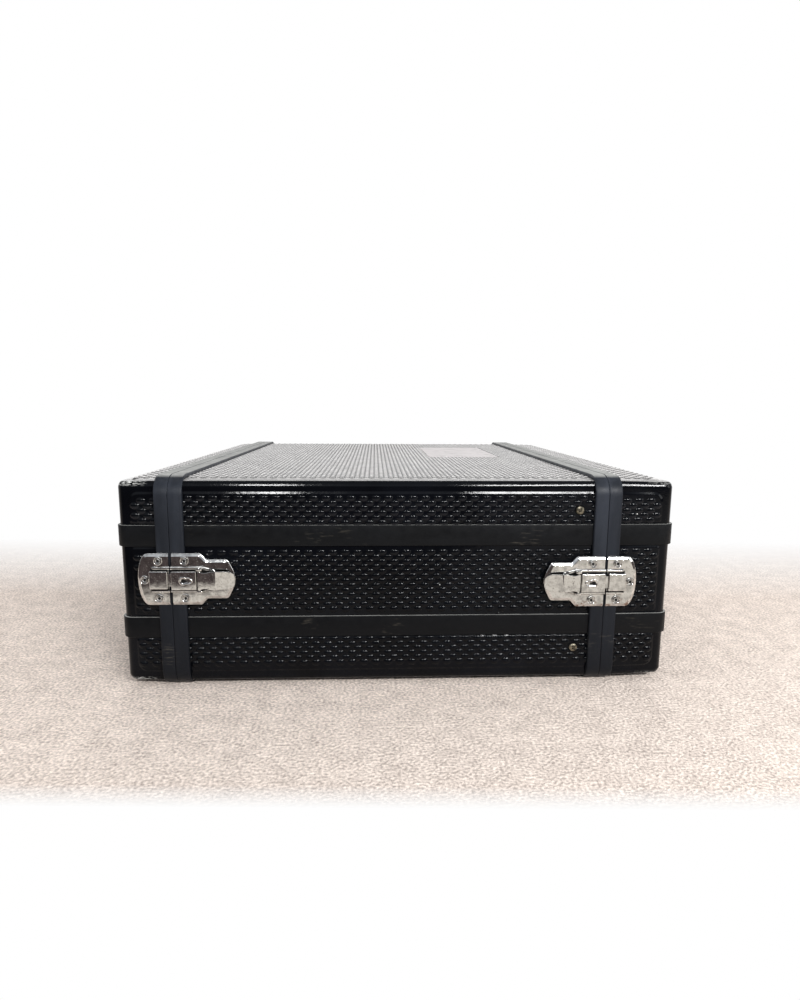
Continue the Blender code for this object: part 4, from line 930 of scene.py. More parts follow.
def pad_solid(field, bevel):
    """The raised field itself, with a rounded slope round it."""
    if field.band_edges is not None:
        return pad_between_bands(field, bevel)
    loops = [[field.place @ Vector((u, v, -SINK)) for u, v in field.outline]]
    for inset_share, rise_share in PAD_SLOPE_SHARES:
        ring = inset(field.outline, bevel * inset_share) if inset_share else field.outline
        loops.append([field.place @ Vector((u, v, rise_share * FIELD_HEIGHT)) for u, v in ring])
    return loft(loops)


def pad_between_bands(field, bevel):
    """A field whose ends lie under the rings; it stands upright where it meets a band."""
    us = [u for u, _ in field.outline]
    vs = [v for _, v in field.outline]
    section = [(min(vs), -SINK)]
    low_edge, high_edge = field.band_edges
    slope = PAD_SLOPE_SHARES[-1:] if low_edge else PAD_SLOPE_SHARES
    section += [(min(vs) + (0 if low_edge else bevel * wide), high * FIELD_HEIGHT) for wide, high in slope]
    slope = PAD_SLOPE_SHARES[-1:] if high_edge else PAD_SLOPE_SHARES[::-1]
    section += [(max(vs) - (0 if high_edge else bevel * wide), high * FIELD_HEIGHT) for wide, high in slope]
    section.append((max(vs), -SINK))
    return loft([[field.place @ Vector((u, v, out)) for v, out in section] for u in (min(us), max(us))])


def flat_object(name, polygons):
    """An object of flat faces in the plane of a field."""
    bm = bmesh.new()
    for polygon in polygons:
        bm.faces.new([bm.verts.new((u, v, 0)) for u, v in polygon])
    return temporary(name, bm)


def stud_solids(field, sizes, fine):
    """The studs on a field."""
    u_low, u_high, v_low, v_high = field.studs
    quad = [(u_low, v_low, 0), (u_high, v_low, 0), (u_high, v_high, 0), (u_low, v_high, 0)]
    carrier = bpy.data.meshes.new("field")
    carrier.from_pydata(quad, [], [(0, 1, 2, 3)])
    far_away = [(9.0, 9.0), (9.1, 9.0), (9.0, 9.1)]
    clear = flat_object("keep_clear", [far_away, *field.clear])
    values = {
        "Stud Pitch": sizes.stud_pitch,
        "Stud Rows": sizes.stud_row,
        "Stud Length": sizes.stud_length,
        "Stud Width": sizes.stud_width,
        "Stud Rise": sizes.stud_rise,
        "Segments": 12 if fine else 8,
        "Rings": 9 if fine else 6,
        "Keep Clear": clear,
        "Clear Margin": STUD_CLEAR,
        "Material": finish_named("abs_vacuum_formed"),
    }
    result = run_tree(stud_tree(), carrier, values)
    bpy.data.objects.remove(clear)
    lift = Matrix.Translation((0, 0, FIELD_HEIGHT))
    bmesh.ops.transform(result, matrix=field.place @ lift, verts=result.verts)
    return result


def corner_clear(u, v, u_side, v_side, radius):
    """Area outside a field's rounded corner; the sides say which corner it is."""
    centre = (u - u_side * radius, v - v_side * radius)
    angles = {(1, 1): (0, 90), (-1, 1): (90, 180), (-1, -1): (180, 270), (1, -1): (270, 360)}
    start, end = angles[(u_side, v_side)]
    keep = max(radius - STUD_CORNER_CUT, STUD_CORNER_LEAST)
    points = arc(centre, keep, start, end, 5)
    return [(u, v), *(points[::-1] if u_side * v_side > 0 else points)]


def slope_width(field, width):
    """Width of a field's slope, which is gentler the higher the field lies."""
    low, high = field.outline[0][1], max(v for _, v in field.outline)
    height = (field.place @ Vector((0, (low + high) / 2, 0))).z
    return width * (0.74 + 0.53 * (height - BOTTOM_Z) / (TOP_Z - BOTTOM_Z))


def dressed_shell(name, base, fields, node, body, sizes):
    """A shell with its raised fields and studs."""
    parts = [base]
    for fine, field in fields:
        parts.append(pad_solid(field, slope_width(field, sizes.field_bevel)))
        if field.studs:
            parts.append(stud_solids(field, sizes, fine))
    make_piece(name, gather(parts), "abs_vacuum_formed", body, [node])


# Shells of the body


def edge_curve(radius):
    """Heights and insets round a shell's edge, with a narrow flat that catches the light."""
    tilt = math.radians(EDGE_FLAT_DEG)
    flat = (EDGE_FLAT * math.cos(tilt), EDGE_FLAT * math.sin(tilt))
    points = []
    turns = (((0, tilt, 3), (0, 0)), ((tilt, math.pi / 2, EDGE_STEPS), flat))
    for (start, end, steps), (up, inward) in turns:
        for step in range(steps + 1):
            angle = start + (end - start) * step / steps
            points.append((up + radius * math.sin(angle), inward + radius * (1 - math.cos(angle))))
    return points


def shell_section(joint_z, outer_z):
    """Section of a U-shaped shell across the case."""
    rise = abs(outer_z - joint_z)
    up = math.copysign(1, outer_z - joint_z)
    edge = edge_curve(SHELL_EDGE_RADIUS)
    inner_edge = edge_curve(SHELL_EDGE_RADIUS - SHELL_WALL)
    base = rise - edge[-1][0]
    outer = [(FACE_Y, 0), (FACE_Y, base - SUPPORT)] + [(FACE_Y - back, base + high) for high, back in edge]
    outer.append((FACE_Y - edge[-1][1] - SUPPORT, rise))
    wall_y = FACE_Y - SHELL_WALL
    inner = [(wall_y, 0)] + [(wall_y - back, base + high) for high, back in inner_edge]
    loop = outer + [(-y, z) for y, z in reversed(outer)]
    loop += [(-y, z) for y, z in inner] + list(reversed(inner))
    return [(y, joint_z + up * z) for y, z in loop]


def along_body(section):
    """A section stretched between the closure rings' webs."""
    ends = (REAR_SEAM + RING_WEB + CLEARANCE, FRONT_SEAM - RING_WEB - CLEARANCE)
    return loft([[Vector((x, y, z)) for y, z in section] for x in ends])


def rectangle(u_low, u_high, v_low, v_high, radii=(0, 0, 0, 0)):
    """A rectangle's outline with its own radius at each corner, counter-clockwise from the lowest."""
    corners = ((u_low, v_low), (u_high, v_low), (u_high, v_high), (u_low, v_high))
    return fillet([(*corner, radius) for corner, radius in zip(corners, radii)], CORNER_STEPS)


# Outer shells: name, roof height, direction and joint height
SHELLS = (
    ("top", TOP_Z, 1, BAND_ZS["upper"] + JOINT_HALF),
    ("bottom", BOTTOM_Z, -1, BAND_ZS["lower"] - JOINT_HALF),
)


def body_side_field(side, joint_z, up, limits, margins, clear, band_edges):
    """Field on the body's side, between two heights over a joint band."""
    place = frame_of((REAR_SEAM, side * FACE_Y, joint_z), (1, 0, 0), (0, 0, up), (0, side, 0))
    length = FRONT_SEAM - REAR_SEAM
    web = RING_WEB + CLEARANCE
    edge = RING_WIDTH - UNDER_RING
    studs = (edge, length - edge, limits[0] + margins[0], limits[1] - margins[1])
    return Field(place, rectangle(web, length - web, *limits), studs, clear, band_edges)


def body_roof_field(z, up, clear):
    """Field on the body's top or bottom; its rows of studs run across the case."""
    place = frame_of((REAR_SEAM, 0, z), (0, 1, 0), (1, 0, 0), (0, 0, up))
    length = FRONT_SEAM - REAR_SEAM
    web = RING_WEB + CLEARANCE
    half = FACE_Y - SHELL_EDGE_RADIUS - FIELD_TOP_MARGIN
    edge = RING_WIDTH - UNDER_RING
    studs = (-half + ROOF_STUD_INSET, half - ROOF_STUD_INSET, edge, length - edge)
    return Field(place, rectangle(-half, half, web, length - web), studs, clear, None)


def screw_clear(joint_z, up, top):
    """Room round the rail screws, in a body side field."""
    polygons = []
    for level in ("upper", "lower"):
        centre = middle(f"rail_screw_near_{level}")
        height = (centre.z - joint_z) * up
        if 0 < height < top:
            polygons.append(circle(SCREW_ROOM, 10, (centre.x - REAR_SEAM, height)))
    return polygons


def latch_clear(side_name, joint_z):
    """Room for the base plates, and for the handle on the far side, in the side panel's field."""
    polygons = []
    for end in (REAR, FRONT):
        outline = plate_ring(base_corners(), 0)
        polygons.append([
            (end.seam - end.out * along - REAR_SEAM, end.latch_z + up - joint_z) for along, up in outline
        ])
    for node in ("handle_bracket_rear", "handle_bracket_front") if side_name == "far" else ():
        low, high = span(node)
        polygons.append(rectangle(low.x - REAR_SEAM, high.x - REAR_SEAM, low.z - joint_z, high.z - joint_z))
    return polygons


def body_shells(sizes):
    """Top shell, bottom shell and side panels."""
    label_low, label_high = span("label_plate")
    label = rectangle(label_low.y, label_high.y, label_low.x - REAR_SEAM, label_high.x - REAR_SEAM)
    for name, outer_z, up, joint_z in SHELLS:
        top = abs(outer_z - joint_z) - FIELD_FROM_TOP
        clear = screw_clear(joint_z, up, top)
        limits = (FIELD_START, top)
        fields = []
        for _, side in SIDES:
            field = body_side_field(side, joint_z, up, limits, OUTER_MARGINS, clear, (False, False))
            fields.append((True, field))
        fields.append((False, body_roof_field(outer_z, up, [label] if name == "top" else [])))
        base = along_body(shell_section(joint_z, outer_z))
        dressed_shell(f"body_{name}_shell", base, fields, f"case_{name}_shell", "case_body", sizes)
    low = BAND_ZS["lower"] + JOINT_HALF
    high = BAND_ZS["upper"] - JOINT_HALF
    for side_name, side in SIDES:
        outer, inner = side * FACE_Y, side * (FACE_Y - SHELL_WALL)
        base = along_body([(outer, low), (outer, high), (inner, high), (inner, low)])
        under = BAND_HEIGHT / 2 + CLEARANCE - JOINT_HALF
        clear = latch_clear(side_name, low)
        limits = (under, high - low - under)
        field = body_side_field(side, low, 1, limits, MIDDLE_MARGINS, clear, (True, True))
        fields = [(True, field)]
        node = f"case_side_panel_{side_name}"
        dressed_shell(f"body_side_panel_{side_name}", base, fields, node, "case_body", sizes)


# Shells of the lids


def lid_plan(depth, offset, start):
    """Outline of a lid in plan, from the near side round to the far side, as out and across."""
    draft = math.atan(LID_SLOPE)
    side_y = FACE_Y + offset / math.cos(draft)
    radius = max(LID_CORNER_RADIUS + offset, LID_CORNER_LEAST)
    centre_out = depth + offset - radius
    centre_y = side_y - (centre_out - RING_WIDTH) * LID_SLOPE - radius / math.cos(draft)
    half = [(start, side_y), (RING_WIDTH, side_y)]
    before = centre_out - SUPPORT
    half.append((before, side_y - (before - RING_WIDTH) * LID_SLOPE))
    for step in range(CORNER_STEPS + 1):
        angle = (math.pi / 2 - draft) * (1 - step / CORNER_STEPS)
        half.append((centre_out + radius * math.cos(angle), centre_y + radius * math.sin(angle)))
    half.append((depth + offset, centre_y - SUPPORT))
    return [(out, -y) for out, y in half] + [(out, y) for out, y in reversed(half)]


def lid_levels(rise):
    """Heights and insets of a lid's outer and inner surface, from its joint to its roof."""
    edge = edge_curve(SHELL_EDGE_RADIUS)
    base = rise - edge[-1][0]
    outer = [(0, 0), (base - SUPPORT, 0)] + [(base + high, back) for high, back in edge]
    outer.append((rise, edge[-1][1] + SUPPORT))
    inner = [(0, SHELL_WALL), (base - SUPPORT, SHELL_WALL)]
    inner += [(base + high, SHELL_WALL + back) for high, back in edge_curve(SHELL_EDGE_RADIUS - SHELL_WALL)]
    return outer, inner


def wall_solid(outer_rows, inner_rows, capped):
    """A bent wall from outer and inner rows of points, with a roof where it is capped."""
    bm = bmesh.new()
    outer = [[bm.verts.new(point) for point in row] for row in outer_rows]
    inner = [[bm.verts.new(point) for point in row] for row in inner_rows]
    strips = list(zip(outer, outer[1:])) + list(zip(inner, inner[1:])) + [(outer[0], inner[0])]
    if not capped:
        strips.append((outer[-1], inner[-1]))
    for low, high in strips:
        for i in range(len(low) - 1):
            bm.faces.new((low[i], low[i + 1], high[i + 1], high[i]))
    if capped:
        bm.faces.new(outer[-1])
        bm.faces.new(inner[-1])
        bm.faces.new([row[0] for row in outer] + [row[-1] for row in reversed(outer)]
                     + [row[-1] for row in inner] + [row[0] for row in reversed(inner)])
    else:
        for index in (0, -1):
            bm.faces.new([row[index] for row in outer] + [row[index] for row in reversed(inner)])
    return bm


def lid_wall(end, levels, place, capped):
    """A lid's shell from its outer and inner levels."""
    start = LID_WEB + CLEARANCE
    sets = []
    for side_levels in levels:
        rows = []
        for height, inset_here in side_levels:
            plan = lid_plan(end.depth, -inset_here, start)
            rows.append([Vector((end.seam + end.out * out, y, place(height, out))) for out, y in plan])
        sets.append(rows)
    return wall_solid(sets[0], sets[1], capped)


def lid_side_field(end, side, joint_z, up, top, slope, radius):
    """Field on a lid's side; its upper limit falls with the roof."""
    draft = math.atan(LID_SLOPE)
    origin = (end.seam + end.out * RING_WIDTH, side * FACE_Y, joint_z)
    along = (end.out * math.cos(draft), -side * math.sin(draft), 0)
    out = (end.out * math.sin(draft), side * math.cos(draft), 0)
    place = frame_of(origin, along, (0, 0, up), out)
    start = LID_WEB + CLEARANCE - RING_WIDTH
    length = end.depth - RING_WIDTH - FIELD_LID_END_MARGIN
    end_top = top - slope * length
    corners = [(start, FIELD_START, 0), (length, FIELD_START, SMALL_CORNER)]
    corners += [(length, end_top, radius), (start, top, 0)]
    margins = OUTER_MARGINS if radius > SMALL_CORNER else MIDDLE_MARGINS
    alongs = (LID_STUD_START[end.name], length - LID_STUD_END)
    studs = (*alongs, FIELD_START + margins[0], end_top - margins[1])
    clear = [corner_clear(length, end_top, 1, 1, radius)]
    return Field(place, fillet(corners, CORNER_STEPS), studs, clear, None)


def lid_end_field(end, joint_z, up, top, radius):
    """Field on a lid's end face."""
    place = frame_of((end.seam + end.out * end.depth, 0, joint_z), (0, 1, 0), (0, 0, up), (end.out, 0, 0))
    half = FACE_Y - FIELD_LID_END_MARGIN - FIELD_LID_FACE_MARGIN
    outline = rectangle(-half, half, FIELD_START, top, (SMALL_CORNER, SMALL_CORNER, radius, radius))
    margins = OUTER_MARGINS if radius > SMALL_CORNER else MIDDLE_MARGINS
    stud_half = half - LID_FACE_STUD_INSET
    studs = (-stud_half, stud_half, FIELD_START + margins[0], top - margins[1])
    clear = [corner_clear(half, top, 1, 1, radius), corner_clear(-half, top, -1, 1, radius)]
    return Field(place, outline, studs, clear, None)


def lid_roof_field(end, z, up, radius):
    """Field on a lid's top or bottom; its rows of studs run across the case."""
    draft = math.atan(LID_SLOPE)
    origin = (end.seam + end.out * RING_WIDTH, 0, z)
    along = (end.out * math.cos(draft), 0, -up * math.sin(draft))
    out = (end.out * math.sin(draft), 0, up * math.cos(draft))
    place = frame_of(origin, (0, 1, 0), along, out)
    start = LID_WEB + CLEARANCE - RING_WIDTH
    length = end.depth - RING_WIDTH - SHELL_EDGE_RADIUS - FIELD_TOP_MARGIN
    half = FACE_Y - SHELL_EDGE_RADIUS - FIELD_TOP_MARGIN - FIELD_LID_ROOF_MARGIN
    outline = rectangle(-half, half, start, length, (0, 0, radius, radius))
    stud_half = half - LID_ROOF_STUD_INSET
    studs = (-stud_half, stud_half, LID_ROOF_STUD_START, length - LID_ROOF_STUD_END)
    clear = [corner_clear(half, length, 1, 1, radius), corner_clear(-half, length, -1, 1, radius)]
    return Field(place, outline, studs, clear, None)


def catch_clear(end, joint_z):
    """Room for the catch plate, in a lid's middle side field."""
    outline = plate_ring(catch_corners(), 0)
    return [(-along - RING_WIDTH, end.latch_z + up - joint_z) for along, up in outline]


def lid_shells(end, sizes):
    """Top shell, middle wall and bottom shell of a lid."""
    body = f"{end.name}_lid"
    corner = sizes.field_corner
    for name, outer_z, up, joint_z in SHELLS:
        rise = abs(outer_z - joint_z)

        def place(height, out):
            """World height of a level of the shell, which falls toward the lid's end."""
            share = max(0, (height - FIELD_START) / (rise - FIELD_START))
            return joint_z + up * (height - LID_SLOPE * max(0, out - RING_WIDTH) * share)

        top = rise - FIELD_FROM_TOP
        share = (top - FIELD_START) / (rise - FIELD_START)
        end_top = top - LID_SLOPE * share * (end.depth - RING_WIDTH)
        fields = []
        for _, side in SIDES:
            fields.append((True, lid_side_field(end, side, joint_z, up, top, LID_SLOPE * share, corner)))
        fields.append((True, lid_end_field(end, joint_z, up, end_top, corner)))
        fields.append((False, lid_roof_field(end, outer_z, up, corner)))
        base = lid_wall(end, lid_levels(rise), place, True)
        dressed_shell(f"{body}_{name}", base, fields, f"{body}_{name}_shell", body, sizes)
    low = BAND_ZS["lower"] + JOINT_HALF
    rise = BAND_ZS["upper"] - JOINT_HALF - low
    levels = ([(0, 0), (rise, 0)], [(0, SHELL_WALL), (rise, SHELL_WALL)])
    base = lid_wall(end, levels, lambda height, out: low + height, False)
    fields = []
    for _, side in SIDES:
        field = lid_side_field(end, side, low, 1, rise - FIELD_START, 0, SMALL_CORNER)
        clear = [*field.clear, catch_clear(end, low)]
        fields.append((True, field._replace(clear=clear)))
    fields.append((True, lid_end_field(end, low, 1, rise - FIELD_START, SMALL_CORNER)))
    dressed_shell(f"{body}_middle", base, fields, f"{body}_middle_wall", body, sizes)


# Rings and bands


def ring_loop(end, along, offset, radius):
    """A rounded rectangle round the case, at a distance from the seam toward the body."""
    half_width = FACE_Y + offset
    half_height = TOP_Z - MID_Z + offset
    x = end.seam - end.out * along
    loop = []
    for quarter, (side_y, side_z) in enumerate(((1, 1), (-1, 1), (-1, -1), (1, -1))):
        centre = (side_y * (half_width - radius), side_z * (half_height - radius))
        for y, z in arc(centre, radius, 90 * quarter, 90 * quarter + 90, RING_STEPS):
            loop.append(Vector((x, y, MID_Z + z)))
    return loop


def ring_profile(web, seam_face, joint, sizes):
    """Section of a ring, its outer edges rounded; joint is its tongue or its groove."""
    corners = [(seam_face, RING_PROUD, sizes.seam_edge), (RING_WIDTH, RING_PROUD, sizes.ring_edge)]
    corners += [(RING_WIDTH, OVER_FIELD, 0), (web, OVER_FIELD, 0), (web, -INNER_SEAT, 0)]
    corners += [(RING_WIDTH, -INNER_SEAT, 0), (RING_WIDTH, -RING_INNER, INNER_EDGE_RADIUS)]
    corners += [(seam_face, -RING_INNER, INNER_EDGE_RADIUS)]
    return fillet(corners + [(along, out, 0) for along, out in joint], 3)


def ring_solid(end, direction, profile):
    """A ring from its section; direction is 1 toward the body and -1 toward the lid."""
    loops = []
    for along, offset in profile:
        share = min(max((offset - OVER_FIELD) / (RING_PROUD - OVER_FIELD), 0), 1)
        inner_radius = RING_SEAT_RADIUS + min(offset, OVER_FIELD)
        radius = inner_radius + (RING_EDGE_RADIUS - inner_radius) * share
        loops.append(ring_loop(end, direction * along, offset, radius))
    return loft(loops, closed=True)


def rings(sizes):
    """The four closure rings."""
    tongue = [(0, -SHELL_WALL), (-TONGUE_LENGTH, -SHELL_WALL), (-TONGUE_LENGTH, 0), (0, 0)]
    low = -SHELL_WALL - CLEARANCE
    floor = CLEARANCE + TONGUE_LENGTH
    groove = [(CLEARANCE, low), (floor, low), (floor, CLEARANCE), (CLEARANCE, CLEARANCE)]
    for end in (REAR, FRONT):
        solid = ring_solid(end, 1, ring_profile(RING_WEB, 0, tongue, sizes))
        node = f"case_ring_{end.name}"
        make_piece(f"body_ring_{end.name}", solid, "pvc_extruded_faded", "case_body", [node])
        solid = ring_solid(end, -1, ring_profile(LID_WEB, CLEARANCE, groove, sizes))
        body = f"{end.name}_lid"
        make_piece(f"{body}_closure", solid, "pvc_extruded_faded", body, [f"{body}_ring"])


def band_profile(sizes):
    """H section of a joint band: out from the shell's face, and up from the joint."""
    outer, inner, web = BAND_HEIGHT / 2, BAND_INNER_HEIGHT / 2, BAND_WEB / 2
    half = [(BAND_PROUD, outer, sizes.band_edge), (CLEARANCE, outer, 0), (CLEARANCE, web, 0)]
    half += [(-INNER_SEAT, web, 0), (-INNER_SEAT, inner, 0), (-BAND_INNER, inner, INNER_EDGE_RADIUS)]
    return fillet(half + [(out, -up, radius) for out, up, radius in reversed(half)], 3)


def bands(sizes):
    """Straight bands on the body's sides, and bands bent round the lids."""
    profile = band_profile(sizes)
    for side_name, side in SIDES:
        for level, z in BAND_ZS.items():
            loops = []
            for x in (REAR_SEAM + BAND_END, FRONT_SEAM - BAND_END):
                loops.append([Vector((x, side * (FACE_Y + out), z + up)) for out, up in profile])
            node = f"case_band_{level}_{side_name}"
            name = f"body_band_{level}_{side_name}"
            make_piece(name, loft(loops), "pvc_extruded", "case_body", [node])
    for end in (REAR, FRONT):
        for level, z in BAND_ZS.items():
            plans = [lid_plan(end.depth, out, BAND_END) for out, _ in profile]
            loops = []
            for points in zip(*plans):
                loop = []
                for (out, y), (_, up) in zip(points, profile):
                    loop.append(Vector((end.seam + end.out * out, y, z + up)))
                loops.append(loop)
            body = f"{end.name}_lid"
            name = f"{body}_joint_{level}"
            make_piece(name, loft(loops), "pvc_extruded", body, [f"{body}_band_{level}"])


# Latches


def catch_corners():
    """Corners of the lid's plate: straight at the seam and round at its outer end."""
    bulge = CATCH_LENGTH - CATCH_STRAIGHT
    corners = [(-PLATE_SEAM_GAP, -PLATE_HALF_HEIGHT, 0), (-PLATE_SEAM_GAP, PLATE_HALF_HEIGHT, 0)]
    steps = 16
    for step in range(steps + 1):
        angle = math.pi / 2 - math.pi * step / steps
        radius = 0.002 if step in (0, steps) else 0
        along = -CATCH_STRAIGHT - bulge * math.cos(angle)
        corners.append((along, PLATE_HALF_HEIGHT * math.sin(angle), radius))
    return corners


def base_corners():
    """Corners of the body's plate: wide at the seam, then narrow, with a blunt nose."""
    half = [(PLATE_SEAM_GAP, PLATE_HALF_HEIGHT, 0), (0.028, PLATE_HALF_HEIGHT, 0.003)]
    half += [(0.0335, 0.019, 0.003), (0.053, 0.019, 0.004), (0.058, 0.009, 0.006)]
    lower = [(along, -up, radius) for along, up, radius in half]
    return lower + [(BASE_LENGTH, 0, 0.012)] + half[::-1]


def plate_ring(corners, distance):
    """A plate's outline, set in from its rim but not at the seam, its rounded corners kept in step."""
    bare = [(along, up) for along, up, _ in corners]
    moved = inset(bare, distance) if distance else bare
    turn = 1 if turns_left(bare) else -1
    ring = []
    for i, (along, up, radius) in enumerate(corners):
        here = Vector(bare[i])
        ahead = Vector(bare[(i + 1) % len(bare)]) - here
        outward = (here - Vector(bare[i - 1])).cross(ahead) * turn > 0
        kept = max(radius + (-distance if outward else distance), 0.0004) if radius else 0
        place = (along, moved[i][1]) if abs(along) == PLATE_SEAM_GAP else moved[i]
        ring.append((*place, kept))
    return fillet(ring, 4)


# The folded rim: shares of its width and of its depth
RIM_SHARES = ((0, 1.0), (0.05, 0.84), (0.18, 0.68), (0.80, 0.07), (0.92, 0.015), (1.0, 0), (1.06, 0))
RIM_DEPTH = 0.0015


def pressed_plate(seat, corners, fold):
    """A plate whose rim folds down to the shell, or to the ring where that passes under it."""
    def foot(along):
        """How far out the rim's foot lies."""
        return PLATE_TOP - PLATE_SHEET if abs(along) < RING_WIDTH + CLEARANCE else OVER_FIELD

    loops = [[seat.at(a, foot(a), u) for a, u in plate_ring(corners, 0)]]
    for inset_share, depth_share in RIM_SHARES:
        ring = plate_ring(corners, fold * inset_share)
        loops.append([seat.at(a, PLATE_TOP - RIM_DEPTH * depth_share, u) for a, u in ring])
    return loft(loops)


# A rib's section: a length across it and a share of its rise
RIB_SECTION = (
    (-0.0017, -0.25), (-0.0015, 0.20), (-0.0012, 0.72), (-0.0009, 0.94), (-0.0006, 1.0),
    (0.0007, 1.0), (0.0010, 0.94), (0.0014, 0.72), (0.0021, 0.20), (0.0026, -0.25),
)
# A rib's run: shares of its length and of its full section
RIB_SHARES = ((0, 1.0), (0.55, 1.0), (0.70, 1.0), (0.86, 1.0), (0.93, 0.85), (0.97, 0.55), (1.0, 0.0))


def guide_rib(seat, side_up, start, end, bend):
    """A flat-topped rib along a plate; its outer end sinks into the plate and may bend inward."""
    loops = []
    for share, size in RIB_SHARES:
        bent = bend * max(0, (share - 0.7) / 0.3)
        loop = []
        for across, rise in RIB_SECTION:
            up = GUIDE_INNER_HALF + GUIDE_WIDTH / 2 - bent + across * (0.4 + 0.6 * size)
            out = PLATE_TOP + GUIDE_RISE * (rise - 0.15) * size - 0.0002
            loop.append(seat.at(start + (end - start) * share, out, side_up * up))
        loops.append(loop)
    return loft(loops)


# Corners of half an ear: along from the pivot, out and radius
EAR_HALF = ((0.0042, PLATE_TOP - SINK, 0), (0.0042, PLATE_TOP, 0), (0.0026, PIVOT_OUT + 0.0014, 0.0016))
EAR_EDGE = 0.0004
EAR_GAP = 0.0002
EAR_SETBACK = 0.0006


def ear_solid(seat, side_up):
    """The lug that holds one end of the lever's pin."""
    outline = [(LEVER_PIVOT_ALONG + a, out, radius) for a, out, radius in EAR_HALF]
    outline += [(LEVER_PIVOT_ALONG - a, out, radius) for a, out, radius in reversed(EAR_HALF)]
    low = side_up * (GUIDE_INNER_HALF + EAR_GAP)
    high = side_up * (GUIDE_INNER_HALF + GUIDE_WIDTH - EAR_SETBACK)
    return soften(seat.bar(fillet(outline, 4), (low, high)), EAR_EDGE, 2)


# Section of the painted shade strip: up from the latch's middle, and out from the plate
SHADE_STRIP_SECTION = (
    (0.0068, -0.0003), (0.0068, 0.0002), (0.0089, 0.0002), (0.0093, 0.0009), (0.0101, 0.00165),
    (0.0106, 0.0012), (0.0106, -0.0003),
)


def groove_shade_strips(seat, name, body, alongs):
    """A dark strip of painted shade in the two grooves between a latch's ribs and what stands between them.
    """
    parts = []
    for side_up in (-1, 1):
        section = [(side_up * up, PLATE_TOP + out) for up, out in SHADE_STRIP_SECTION]
        parts.append(seat.run(section, alongs))
    make_piece(f"{name}_grime", gather(parts), "steel_blackened", body, [])


CATCH_RIB = (-0.0005, -0.0175)
CATCH_SHADE_STRIP = (-KEEPER_LENGTH + 0.001, -0.0020)
KEEPER_START = 0.0018
KEEPER_END_WALL = 0.0017
KEEPER_EDGE = 0.0010


def catch_plate(seat, name, nodes, sizes):
    """Catch plate with its ribs and keeper, on the lid."""
    body = f"{seat.end.name}_lid"
    parts = [pressed_plate(seat, catch_corners(), sizes.plate_fold)]
    for side_up in (-1, 1):
        parts.append(guide_rib(seat, side_up, *CATCH_RIB, 0))
    outs = (PLATE_TOP - SINK, TUNNEL_ROOF + KEEPER_ROOF)
    ups = (-KEEPER_HALF_HEIGHT, KEEPER_HALF_HEIGHT)
    keeper = soften(seat.block((-KEEPER_LENGTH, -KEEPER_START), outs, ups), KEEPER_EDGE)
    alongs = (-KEEPER_LENGTH + KEEPER_END_WALL, OVERRUN)
    mouth = seat.block(alongs, (PLATE_TOP, TUNNEL_ROOF), (-TUNNEL_HALF, TUNNEL_HALF))
    parts.append(cut(keeper, mouth))
    make_piece(name, gather(parts), "steel_chrome_plated", body, nodes, crisp=True)
    groove_shade_strips(seat, name, body, CATCH_SHADE_STRIP)


BASE_RIB = (0.0005, 0.0425)
BASE_RIB_BEND = 0.0034
BASE_SHADE_STRIP = (0.0020, 0.0395)


def base_plate(seat, name, nodes, sizes):
    """Base plate with its ribs and the lever's ears, on the body."""
    parts = [pressed_plate(seat, base_corners(), sizes.plate_fold)]
    for side_up in (-1, 1):
        parts.append(guide_rib(seat, side_up, *BASE_RIB, BASE_RIB_BEND))
        parts.append(ear_solid(seat, side_up))
    make_piece(name, gather(parts), "steel_chrome_plated", "case_body", nodes, crisp=True)
    groove_shade_strips(seat, name, "case_body", BASE_SHADE_STRIP)


HOUSING_EDGE = 0.0008


def lock_housing(seat, name, nodes):
    """The lock housing: a bridge over the hook, bored for its plug."""
    half = [(LOCK_HALF_HEIGHT, HOOK_BOTTOM), (LOCK_HALF_HEIGHT, LOCK_TOP)]
    half_inner = [(-TUNNEL_HALF, HOOK_BOTTOM), (-TUNNEL_HALF, TUNNEL_ROOF)]
    profile = half + [(-up, out) for up, out in reversed(half)]
    profile += half_inner + [(-up, out) for up, out in reversed(half_inner)]
    solid = soften(seat.run(profile, (LOCK_START, LOCK_END)), HOUSING_EDGE)
    bore = seat.plate(circle(PLUG_RADIUS + PLUG_GAP, 32, (PLUG_ALONG, 0)), (HOOK_TOP, LOCK_TOP + OVERRUN))
    make_piece(name, cut(solid, bore), "steel_chrome_plated", "case_body", nodes, crisp=True)


KEYHOLE_RADIUS = 0.0020
KEYHOLE_SLOT_HALF = 0.0008
KEYHOLE_SLOT_LENGTH = 0.0070
KEYHOLE_DEPTH = 0.0022
KEYHOLE_SHADE_DROP = 0.0010
PLUG_BARREL_DROP = 0.0013
# The plug's dished face: how far its loops grow, and how far out of the housing's top they lie
PLUG_FACE = (
    (-0.0039, -0.0011), (-0.0008, -0.0001), (0, -0.0001), (0, 0.0001), (-0.0003, 0.0004),
    (-0.0007, 0.00055), (-0.0011, 0.0005), (-0.0016, 0.00025), (-0.0039, -0.0007),
)


def keyhole():
    """The keyhole's outline: a round hole and a slot that points away from the seam."""
    first = math.degrees(math.asin(KEYHOLE_SLOT_HALF / KEYHOLE_RADIUS))
    outline = arc((PLUG_ALONG, 0), KEYHOLE_RADIUS, first, 360 - first, 24)
    slot_end = PLUG_ALONG + KEYHOLE_SLOT_LENGTH
    return outline + [(slot_end, -KEYHOLE_SLOT_HALF), (slot_end, KEYHOLE_SLOT_HALF)]


